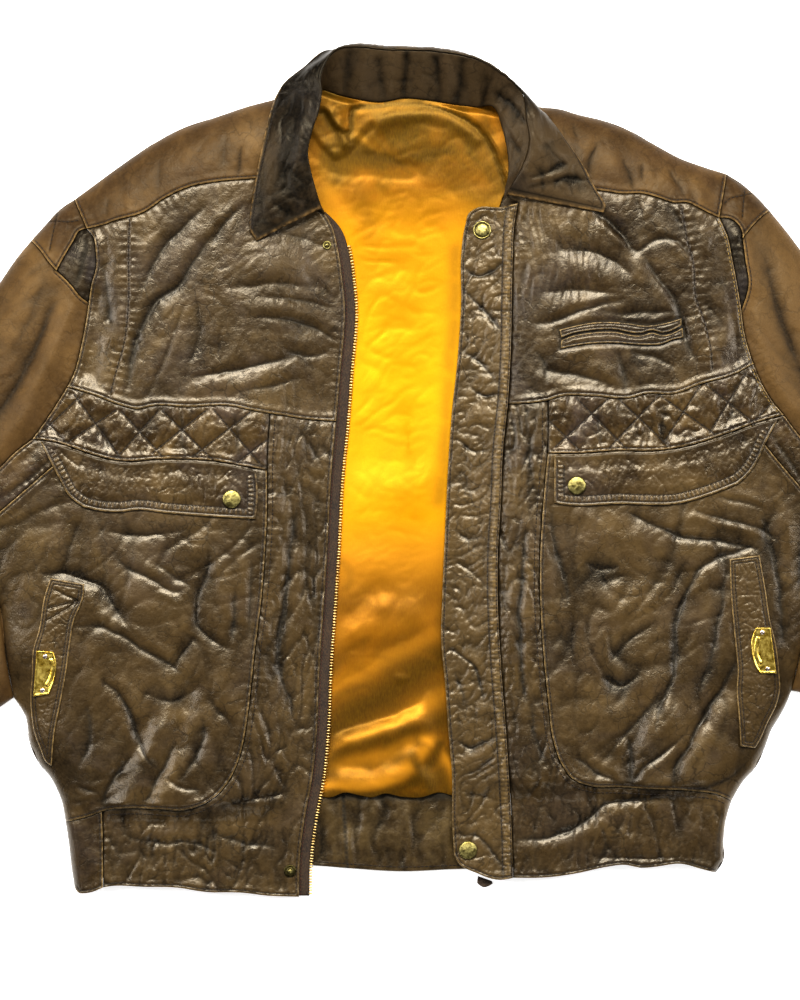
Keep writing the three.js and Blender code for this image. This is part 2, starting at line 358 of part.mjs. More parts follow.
// snaps and studs
add('snap_flap_l', disc(232, 499, SNAP_D, 3.6, FLAP + FLAP_GAP + 0.4), 'old');
add('snap_flap_r', disc(576.5, 485.5, SNAP_D, 3.6, FLAP + FLAP_GAP + 0.4), 'old');
add('snap_placket_top', disc(482, 230, SNAP_D, 3.6, 1.0), 'old');
add('snap_placket_bottom', disc(468, 850, SNAP_D, 3.6, 1.0), 'old');
add('stud_neck_l', disc(327, 245, 7.5, 3.0, 0.4), 'old');
add('stud_hem_l', disc(290, 871, STUD_D, 3.4, 0.4), 'old');

// collar: for each station, the neck seam, the roll line and the outer edge, in u and mm
const [P0, P1] = [0, 1];
const stations = [
  // neck seam u v z | roll u v z | outer u v z | how far the fall drops behind (0 none)
  [[325,214,13.5],[321,208.5,20],[257,241,null]],
  [[315,196,17],[315,188,27],[250,228,null]],
  [[305,176,19],[310,168,31],[254,192,null]],
  [[301,150,19],[308,152,33],[261,154,null]],
  [[302,128,17],[313,130,34],[267,127,null]],
  [[307,106,13],[319,112,35],[272,108,null]],
  [[314,92,8],[322,92,35],[277,95,null]],
  [[322,88.5,4.5],[321,78,35],[284,84,null]],
  [[330,91,4.2],[327,62,34],[302,70,null]],
  [[340,94.5,4.2],[338,49.5,33],[328,51.5,14]],
  [[357,98.5,4.2],[357,47.5,32],[355,72,2.4]],
  [[380,101.5,4.2],[383,50,32],[383,78,2.0]],
  [[405,97.5,4.2],[410,51,32],[410,78,2.0]],
  [[428,99.5,4.2],[435,52,32],[436,78,2.0]],
  [[453,103.5,4.2],[461,56,33],[466,76,2.4]],
  [[476,106.5,4.2],[480,61,34],[487,66,12]],
  [[491,106,5],[498,71,35],[518,87.5,null]],
  [[497,112,9],[512,82,36],[535,105,null]],
  [[501,125,13],[523,96,36],[553,125,null]],
  [[505,140,17],[526,120,35],[568,145,null]],
  [[508,158,19],[529,143,34],[584,168,null]],
  [[508,176,20],[522,167,31],[596,191,null]],
  [[505,190,19],[513,183,27],[605,206,null]],
  [[504,200,15],[507,195,20],[603,213,null]],
];
const at3 = ([u, v, z]) => { const [[x, y]] = mm([[u, v]]); return [x, y, z]; };
const FALL = 2.0, STAND = 1.8;
const fallRows = stations.map(([, roll, out]) => {
  const r = at3(roll), o = at3(out), rows = [];
  if (out[2] === null) {
    const zo = Math.max(faceted(o[0], o[1]), 3.5) + 3.0;
    for (const t of [0, 0.12, 0.4, 0.72, 1]) {
      const x = r[0] + (o[0] - r[0]) * t, y = r[1] + (o[1] - r[1]) * t;
      const line = r[2] + (zo - r[2]) * t;
      rows.push([x, y, Math.max(line + 2.2 * Math.sin(Math.PI * Math.min(1, t * 1.25)), faceted(x, y) + 3.0)]);
    }
  } else {
    // behind the neck the fall goes down to the surface and in under the stand
    const drop = out[2] < 5 ? 1 : 0.45;
    for (const [a, b] of [[0, 1], [-0.09, 0.88], [-0.10 * drop, 0.5], [0.3, 0.15], [1, 0]]) rows.push([r[0] + (o[0] - r[0]) * Math.max(0, a), r[1] + (o[1] - r[1]) * a, o[2] + (r[2] - o[2]) * b]);
  }
  return rows;
});
const standRows = stations.map(([seam, roll], i) => {
  const s = at3(seam), r = at3(roll), under = 5.2;
  if (seam[2] > 4.6) s[2] = Math.max(faceted(s[0], s[1]), 4) + 2.0;
  return [0, 0.35, 0.7, 1].map((t) => {
    const k = (i > 13 && i < 19 ? 0.8 : 0.93) * t, x = s[0] + (r[0] - s[0]) * k, y = s[1] + (r[1] - s[1]) * k - (i > 8 && i < 16 ? 1.2 * t : 0);
    const z = s[2] + (r[2] - under - s[2]) * t;
    return [x, y, seam[2] > 4.6 ? Math.max(z, faceted(x, y) + 1.6) : z];
  });
});
add('collar_fall', loft(fallRows, FALL), 'collar');
add('collar_stand', loft(standRows, STAND), 'collar');

export default jacket;
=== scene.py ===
"""Looks of the worn leather blouson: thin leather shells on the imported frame, with seams, stitches, creases and metalwork."""
import sys
import math

import bpy
import numpy as np
from mathutils import Vector
from mathutils import geometry as geo
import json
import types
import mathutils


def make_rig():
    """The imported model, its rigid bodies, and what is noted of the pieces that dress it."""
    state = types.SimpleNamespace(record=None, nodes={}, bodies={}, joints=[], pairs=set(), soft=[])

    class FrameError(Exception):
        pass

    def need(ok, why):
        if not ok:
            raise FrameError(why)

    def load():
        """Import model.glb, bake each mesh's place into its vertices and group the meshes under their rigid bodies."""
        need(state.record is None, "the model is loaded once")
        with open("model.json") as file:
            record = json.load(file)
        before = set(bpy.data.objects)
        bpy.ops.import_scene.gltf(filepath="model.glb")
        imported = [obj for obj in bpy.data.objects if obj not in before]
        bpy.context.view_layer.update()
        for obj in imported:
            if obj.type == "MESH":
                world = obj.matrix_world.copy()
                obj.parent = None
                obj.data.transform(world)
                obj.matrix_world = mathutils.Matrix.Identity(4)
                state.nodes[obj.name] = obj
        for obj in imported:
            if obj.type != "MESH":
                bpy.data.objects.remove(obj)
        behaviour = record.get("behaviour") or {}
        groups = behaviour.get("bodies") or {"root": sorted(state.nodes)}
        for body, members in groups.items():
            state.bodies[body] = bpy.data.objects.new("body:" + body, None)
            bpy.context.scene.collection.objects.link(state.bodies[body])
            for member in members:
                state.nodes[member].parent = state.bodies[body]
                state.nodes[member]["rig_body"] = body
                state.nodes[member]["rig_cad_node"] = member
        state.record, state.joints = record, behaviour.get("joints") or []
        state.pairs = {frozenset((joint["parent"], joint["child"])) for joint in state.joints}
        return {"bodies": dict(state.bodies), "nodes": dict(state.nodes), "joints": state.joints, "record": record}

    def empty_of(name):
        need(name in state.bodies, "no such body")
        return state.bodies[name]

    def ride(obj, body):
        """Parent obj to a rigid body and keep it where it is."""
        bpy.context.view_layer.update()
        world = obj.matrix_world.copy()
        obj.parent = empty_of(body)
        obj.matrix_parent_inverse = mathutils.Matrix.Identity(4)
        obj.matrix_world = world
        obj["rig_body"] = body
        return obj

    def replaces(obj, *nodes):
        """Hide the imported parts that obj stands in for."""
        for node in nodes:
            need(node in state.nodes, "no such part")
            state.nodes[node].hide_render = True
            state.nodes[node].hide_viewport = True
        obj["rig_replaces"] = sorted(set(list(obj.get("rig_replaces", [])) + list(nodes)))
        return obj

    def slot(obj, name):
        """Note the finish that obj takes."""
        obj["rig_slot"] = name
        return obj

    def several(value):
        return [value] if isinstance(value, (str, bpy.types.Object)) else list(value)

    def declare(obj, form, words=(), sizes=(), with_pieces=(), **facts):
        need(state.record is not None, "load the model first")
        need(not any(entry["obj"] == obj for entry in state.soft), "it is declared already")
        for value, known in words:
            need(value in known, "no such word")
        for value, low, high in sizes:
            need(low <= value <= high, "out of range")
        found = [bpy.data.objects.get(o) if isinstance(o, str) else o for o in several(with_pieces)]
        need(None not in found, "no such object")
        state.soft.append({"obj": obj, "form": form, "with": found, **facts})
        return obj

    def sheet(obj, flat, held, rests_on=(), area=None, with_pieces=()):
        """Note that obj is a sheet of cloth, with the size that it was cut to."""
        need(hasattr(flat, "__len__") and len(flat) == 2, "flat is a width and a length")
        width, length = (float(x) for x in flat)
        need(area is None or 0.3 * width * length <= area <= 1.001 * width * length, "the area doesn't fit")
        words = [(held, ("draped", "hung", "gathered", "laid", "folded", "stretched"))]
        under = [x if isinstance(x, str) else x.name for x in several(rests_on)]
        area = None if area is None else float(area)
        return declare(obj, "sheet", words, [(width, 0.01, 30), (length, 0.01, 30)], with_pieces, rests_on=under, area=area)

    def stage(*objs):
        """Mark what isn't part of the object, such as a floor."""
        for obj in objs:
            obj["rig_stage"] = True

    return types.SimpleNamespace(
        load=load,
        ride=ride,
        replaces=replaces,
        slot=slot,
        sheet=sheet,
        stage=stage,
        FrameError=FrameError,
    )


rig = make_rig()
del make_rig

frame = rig.load()

# ---------------------------------------------------------------- pattern, in units of 0.82 mm: x right, y down
S = 0.82
SHIFT = np.array([1.45, -24.33])
BODY_H, ROLL, EDGE_Z, OPEN_H, BAND_H = 22.0, 44.0, 1.9, 9.5, 12.5
shoulderL = [[318,86],[300,89],[277,98],[250,105],[217,116],[179,129],[158,140],[133,156],[112,171],[89,188],[74,199]]
shoulderR = [[497,98],[520,100],[538,106],[558,108],[579,114],[604,120],[630,130],[655,144],[681,158],[706,167],[727,173.5]]
sleeveOutL = [[30.7,240],[16.6,257],[0,281],[-60,365],[-130,470],[-200,580],[-260,680],[-300,745]]
sleeveOutR = [[770,210],[788,232],[800,248],[860,330],[930,435],[1000,545],[1060,650],[1098,715]]
patchOutL = [[74,199],[57,211],[46,223],[30.7,240]]
patchOutR = [[727,173.5],[747,187],[757,196],[770,210]]
sleeveLowL = [[-190,838],[-130,795],[-60,745],[0,707],[13,698]]
sleeveLowR = [[985,810],[930,770],[860,725],[800,692.5],[792,691]]
sideUpL = [[13,698],[6,657],[0,607],[-15,570],[-26,534]]
sideUpR = [[792,691],[800,656],[815,590],[827,519]]
sideTopL = [[-26,534],[-38,498]]
sideTopR = [[827,519],[838,480]]
sideLowL = [[13,698],[25,717],[29,743],[38,763],[51,779],[61,801],[65,822]]
sideLowR = [[792,691],[786,706],[780,717],[772,730],[765,749],[755,769],[744,781],[732,801]]
bandEndL = [[65,822],[68,842],[71,868],[74,888]]
bandEndR = [[732,801],[726,822],[724,842],[724,860],[716,873]]
armL1 = [[74,199],[80,213],[87,229]]
armR1 = [[727,173.5],[723,196],[719,218]]
armL2 = [[87,229],[94,238],[96,250],[96.6,267],[92,284],[89,303]]
armL3 = [[89,303],[81.6,346],[74,374],[67.6,387]]
armL4 = [[67.6,387],[50,415],[33,439]]
armL5 = [[33,439],[15,453],[0,468],[-22,484],[-38,498]]
armR2 = [[719,218],[726.5,235],[732,260],[737,286],[741,310]]
armR3 = [[741,310],[744,333],[753,364]]
armR4 = [[753,364],[767,394],[783,415]]
armR5 = [[783,415],[800,437],[820,460],[838,480]]
neckL1 = [[318,86],[309,100],[303,118],[299,138],[300,158],[304,175]]
neckL2 = [[304,175],[313,194],[322,209]]
neckR1 = [[497,98],[503,120],[508,140],[512,160],[511,180]]
neckR2 = [[511,180],[507,196],[518,203]]
yokeL = [[304,175],[275,177],[254,179],[217,182],[189,187.5],[166,198],[143,213],[115,221],[104,225],[87,229]]
yokeR = [[511,180],[540,186],[570,188],[601,191],[622,194],[642,194],[658,198],[673,203],[688,203],[698,208],[710,214],[719,218]]
chestL1 = [[67.6,387],[97,396],[120,405],[138,409],[153,406],[189,407],[230,406],[255,411],[270,413.5]]
chestL2 = [[270,413.5],[281,415],[306,419],[336,421]]
chestR1 = [[508,404],[530,403],[548,400.5]]
chestR2 = [[548,400.5],[558,397],[591,396],[630,398],[645,394],[673,394],[701,384],[732,375],[753,364]]
bandBotL1 = [[33,439],[56,442],[75,448]]
bandBotL2 = [[75,448],[102,457],[125,461],[158,459],[189,459],[217,461],[245,466],[267,470]]
bandBotR1 = [[547.5,453],[579,453],[617,450.5],[655,450.5],[681,447],[719,436],[750,424.5]]
bandBotR2 = [[750,424.5],[767,419],[783,415]]
gussetL = [[75,448],[51,468],[0,512],[-26,534]]
gussetR = [[750,424.5],[768,449],[800,487],[827,519]]
stripL1 = [[270,413.5],[268,443],[267,470]]
stripL2 = [[267,470],[267,517],[265,555],[261.5,600],[259,620],[255,651],[251,689],[246,728],[240,756],[230,779],[217,795],[201,805],[184,810],[158,809],[128,808],[107,810],[102,811.5]]
stripL3 = [[102,811.5],[87,817],[65,822]]
stripR1 = [[548,400.5],[548,430],[547.5,453]]
stripR2 = [[547.5,453],[543,504],[540,555],[540,600],[543,651],[548,702],[553,740],[561,763],[573,779],[591,786],[617,787],[655,789],[693,791],[719,795],[732,801]]
frontL1 = [[322,209],[332,226],[338.5,252],[342.5,281],[344.5,300],[340,376],[336,421]]
frontL2 = [[336,421],[331,479],[327,555],[324,600],[319,676],[317,728],[312,779],[305,817],[300,855],[299,897]]
ridge1 = [[518,203],[514,230],[513,255],[512,300],[511,351],[508,404]]
ridge2 = [[508,404],[503,453],[501,504],[498,555],[498,600],[502,676],[506,728],[510,791],[512,830],[513,878]]
placketTop = [[466,222],[468,214],[476,208],[502,207],[518,203]]
placketL = [[466,222],[464,230],[461,255],[461,300],[457,364],[452,410],[448,466],[445,530],[442,600],[441,638],[445,684],[448,728],[452,779],[452,817],[454,855]]
placketBot = [[454,855],[459,864],[476,873],[499,880],[513,878]]
hemL = [[103,887.5],[115,886],[143,887],[179,888],[204,892],[242,893],[268,896],[299,897]]
hemSideL = [[74,888],[79,893],[88,893],[103,887.5]]
hemR = [[513,878],[553,877],[579,873],[607,867],[624,865],[642,868],[655,867],[681,864],[701,869],[716,873]]
bandSeamL = [[102,811.5],[103,850],[103,887.5]]
zipL = [[323,214],[339,232],[346,255],[349.5,281],[351.5,300],[347,376],[343,428],[338,479],[334,555],[331,600],[326,676],[324,728],[319,779],[312,817],[307,855],[306,896]]
backNeck = [[318,86],[338,92],[366,99],[382,100],[405,96],[428,98],[453,102],[484,106],[497,98]]
patchBotL = [[87,229],[80,231],[74,241],[64,258],[57,271]]
patchSideL = [[57,271],[48,261],[40,250],[30.7,240]]
insBotL = [[89,303],[80,296],[73,287],[57,271]]
patchBotR = [[770,210],[758,220],[742,239]]
insTopR = [[719,218],[730,219],[738,225],[742,235],[742,239]]
insBotR = [[742,239],[745,262],[748,284],[741,310]]


def mm(l):
    a = np.asarray(l, float)
    return np.column_stack(((a[:, 0] - 400) * S, (500 - a[:, 1]) * S))


def smooth(p, step):
    """A smooth curve through the points, with points about step apart, both ends kept."""
    p = np.asarray(p, float)
    d = np.hypot(*np.diff(p, axis=0).T)
    keep = np.r_[True, d > 1e-6]
    p = p[keep]
    d = np.hypot(*np.diff(p, axis=0).T)
    if len(p) > 2:
        v = np.diff(p, axis=0) / d[:, None]
        m = np.empty_like(p)
        m[1:-1] = (v[:-1] * d[1:, None] + v[1:] * d[:-1, None]) / (d[1:] + d[:-1])[:, None]
        m[0] = 1.5 * v[0] - 0.5 * m[1]
        m[-1] = 1.5 * v[-1] - 0.5 * m[-2]
        out = [p[:1]]
        for i in range(len(d)):
            k = max(4, int(d[i] / 0.8))
            t = (np.arange(1, k + 1) / k)[:, None]
            h = d[i]
            out.append((2 * t**3 - 3 * t**2 + 1) * p[i] + (t**3 - 2 * t**2 + t) * h * m[i] + (3 * t**2 - 2 * t**3) * p[i + 1] + (t**3 - t**2) * h * m[i + 1])
        p = np.vstack(out)
    s = np.r_[0, np.cumsum(np.hypot(*np.diff(p, axis=0).T))]
    n = max(1, int(round(s[-1] / step)))
    q = np.linspace(0, s[-1], n + 1)
    return np.column_stack((np.interp(q, s, p[:, 0]), np.interp(q, s, p[:, 1])))


_lines = {}


def line(name, step=1.5):
    """A named pattern line in mm, reversed if the name starts with a minus."""
    if name[0] == "-":
        return line(name[1:], step)[::-1]
    if (name, step) not in _lines:
        _lines[(name, step)] = smooth(mm(globals()[name]), step)
    return _lines[(name, step)]


def chain(*parts, step=1.5):
    """Joins named lines, or arrays in mm, end to end."""
    out = []
    for p in parts:
        for q in (line(p, step) if isinstance(p, str) else smooth(p, step)):
            if not out or math.hypot(out[-1][0] - q[0], out[-1][1] - q[1]) > 0.04:
                out.append((q[0], q[1]))
    return np.array(out)


def ring(*parts, step=1.5):
    a = chain(*parts, step=step)
    if np.hypot(*(a[0] - a[-1])) < 0.04:
        a = a[:-1]
    return a


def closed(points, corners, step=1.5):
    """A closed outline in units, smooth except at the corners given by index."""
    p = mm(points)
    n = len(p)
    c = sorted(corners)
    out = []
    for i, a in enumerate(c):
        b = c[(i + 1) % len(c)]
        idx = [(a + k) % n for k in range(((b - a) % n or n) + 1)]
        out.extend(smooth(p[idx], step)[:-1])
    return np.array(out)


def area(p):
    x, y = p[:, 0], p[:, 1]
    return 0.5 * float(np.sum(x * np.roll(y, -1) - np.roll(x, -1) * y))


def normals(p):
    """Unit normals to the left of a closed outline."""
    t = np.roll(p, -1, 0) - np.roll(p, 1, 0)
    t /= np.maximum(np.hypot(t[:, 0], t[:, 1]), 1e-9)[:, None]
    return np.column_stack((-t[:, 1], t[:, 0]))


def near(P, L, reach=None):
    """Distance from the points to a polyline, the arc length there, and the side (left +1)."""
    P = np.asarray(P, float)
    L = np.asarray(L, float)
    N = len(P)
    best, arc, side = np.full(N, 1e9), np.zeros(N), np.ones(N)
    use = np.arange(N)
    if reach is not None:
        lo, hi = L.min(0) - reach, L.max(0) + reach
        use = np.nonzero(((P >= lo) & (P <= hi)).all(1))[0]
    s = np.r_[0, np.cumsum(np.hypot(*np.diff(L, axis=0).T))]
    A, D = L[:-1], np.diff(L, axis=0)
    q = (D**2).sum(1)
    ok = q > 1e-12
    A, D, q, s0 = A[ok], D[ok], q[ok], s[:-1][ok]
    for k in range(0, len(use), 20000):
        u = use[k:k + 20000]
        x, y = P[u, 0][:, None] - A[:, 0], P[u, 1][:, None] - A[:, 1]
        t = np.clip((x * D[:, 0] + y * D[:, 1]) / q, 0, 1)
        ex, ey = x - t * D[:, 0], y - t * D[:, 1]
        e = ex * ex + ey * ey
        j = e.argmin(1)
        r = np.arange(len(u))
        best[u] = np.sqrt(e[r, j])
        arc[u] = s0[j] + t[r, j] * np.sqrt(q[j])
        side[u] = np.where(D[j, 0] * y[r, j] - D[j, 1] * x[r, j] >= 0, 1, -1)
    return best, arc, side


def inside(P, poly):
    c = np.zeros(len(P), bool)
    a, b = poly, np.roll(poly, 1, 0)
    for (x1, y1), (x2, y2) in zip(a, b):
        if y1 == y2:
            continue
        m = (y1 > P[:, 1]) != (y2 > P[:, 1])
        c ^= m & (P[:, 0] < (x2 - x1) * (P[:, 1] - y1) / (y2 - y1) + x1)
    return c


# ---------------------------------------------------------------- seeded noise
_rng = np.random.default_rng(71)
_perm = np.r_[_rng.permutation(512), 0]
_perm = np.r_[_perm[:512], _perm[:512], _perm[:512]]
_ang = _rng.random(512) * 2 * np.pi
_gx, _gy = np.cos(_ang), np.sin(_ang)


def noise(x, y, seed=0):
    """Gradient noise, about -0.7 to 0.7."""
    x, y = np.asarray(x, float) + 37.7 * seed, np.asarray(y, float) - 19.3 * seed
    i, j = np.floor(x).astype(int), np.floor(y).astype(int)
    fx, fy = x - i, y - j

    def g(a, b):
        h = _perm[(_perm[(i + a) & 511] + j + b) & 511]
        return _gx[h] * (fx - a) + _gy[h] * (fy - b)

    u, v = fx**3 * (fx * (fx * 6 - 15) + 10), fy**3 * (fy * (fy * 6 - 15) + 10)
    return (g(0, 0) * (1 - u) + g(1, 0) * u) * (1 - v) + (g(0, 1) * (1 - u) + g(1, 1) * u) * v


def turn(x, y, deg):
    c, s = math.cos(math.radians(deg)), math.sin(math.radians(deg))
    return x * c + y * s, -x * s + y * c


def crumple(x, y, size, seed, stretch=1.0, deg=0.0, sharp=1.0):
    """Leather wrinkles: sharp valleys between soft plateaux, 0 down to about -1. stretch > 1 lengthens them along deg."""
    a, b = turn(x, y, deg)
    a, b = a / (size * stretch), b / size
    wx, wy = noise(a * 0.6, b * 0.6, seed + 5), noise(a * 0.6, b * 0.6, seed + 9)
    n = noise(a + 1.3 * wx, b + 1.3 * wy, seed)
    m = noise(a * 1.9 + 1.1 * wy, b * 1.9 - 0.9 * wx, seed + 3)
    v = -np.exp(-(n / 0.11)**2 * sharp) * (0.65 + 0.6 * noise(a * 0.4, b * 0.4, seed + 7))
    w = -np.exp(-(m / 0.10)**2 * sharp) * 0.4
    return v + w + 0.35 * n


def ease(t):
    t = np.clip(t, 0, 1)
    return t * t * (3 - 2 * t)


def rnd(t):
    t = np.clip(t, 0, 1)
    return np.sqrt(np.maximum(0, 1 - (1 - t)**2))


# ---------------------------------------------------------------- height of the laid cloth, mm
def cat(*ls):
    return mm([p for l in ls for p in l])


rolled = [cat(shoulderL, patchOutL, sleeveOutL), cat(sleeveLowL, sideLowL, bandEndL), cat(shoulderR, patchOutR, sleeveOutR), cat(sleeveLowR, sideLowR, bandEndR)]
beside = [cat(sideUpL, sideTopL), cat(sideUpR, sideTopR)]
openings = [cat(frontL1, frontL2), mm(placketL)]
armholes = [cat(armL1, armL2, armL3, armL4, armL5), cat(armR1, armR2, armR3, armR4, armR5)]
folds = [(mm(l), a, w) for l, a, w in [
    ([[106,809],[113,779],[131,759],[150,720]], -2.4, 9), ([[145,805],[163,768],[176,740],[190,690]], -2.8, 9), ([[124,806],[140,770],[160,730]], 2.4, 10),
    ([[628,785],[629,738],[640,700]], -2.4, 9), ([[673,786],[672,771],[688,740],[724,689]], -2.8, 10), ([[650,786],[652,750],[668,715]], 2.4, 11),
    ([[94,300],[100,330],[92,372]], -2.5, 10), ([[748,300],[742,335],[735,360]], -2.0, 10),
    ([[90,246],[76,300],[51,356],[25,417],[0,453]], 3.0, 9), ([[735,236],[748,290],[760,350],[790,410]], 3.0, 9),
    ([[-20,330],[-60,430],[-120,530]], -3.0, 14), ([[-70,520],[-130,610],[-190,700]], -3.5, 14), ([[-20,560],[-80,640],[-150,760]], 2.5, 14),
    ([[820,300],[870,400],[930,500]], -3.0, 14), ([[880,500],[940,590],[1000,690]], -3.5, 14), ([[830,560],[890,640],[960,740]], 2.5, 14)]]


def nearest(P, ls, reach=None):
    return np.min([near(P, l, reach)[0] for l in ls], 0)


def base(P):
    """The laid cloth without its creases."""
    h = np.full(len(P), BODY_H)
    for l, a, w in folds:
        d = near(P, l, 3 * w)[0] / w
        h += a * np.exp(-np.minimum(d, 9)**2)
    h -= 2.5 * np.exp(-(nearest(P, armholes, 40) / 12).clip(0, 9)**2)
    h = EDGE_Z + (h - EDGE_Z) * rnd(nearest(P, rolled, 60) / ROLL)
    h = EDGE_Z + (h - EDGE_Z) * (0.3 + 0.7 * rnd(nearest(P, beside, 60) / 34))
    vy = 500 - P[:, 1] / S
    below = np.where(P[:, 0] < 0, 812, 791)
    h = np.minimum(h, h + (np.minimum(h, BAND_H) - h) * ease((vy - below + 12) / 24))
    o = nearest(P, openings, 100)
    return np.minimum(h, OPEN_H + (h - OPEN_H) * ease(o / 80))

# ---------------------------------------------------------------- creases: line in units, height mm, half width mm
# a trough is negative; each is soft, and fades towards its two ends
CR = {}


def crease(piece, pts, a, w):
    CR.setdefault(piece, []).append((smooth(mm(pts), 4.0), a, w))


def fold(piece, pts, a, w, off=1.0):
    """A trough with a lip on its upper left side (off > 0) or lower right side."""
    crease(piece, pts, -a, w)
    n = normals_open(mm(pts)) * w * 1.7 * off
    CR[piece].append((smooth(mm(pts) + n, 4.0), a * 0.55, w * 1.1))


def normals_open(p):
    t = np.gradient(p, axis=0)
    t /= np.maximum(np.hypot(t[:, 0], t[:, 1]), 1e-9)[:, None]
    n = np.column_stack((-t[:, 1], t[:, 0]))
    n[n[:, 1] < 0] *= -1
    return n


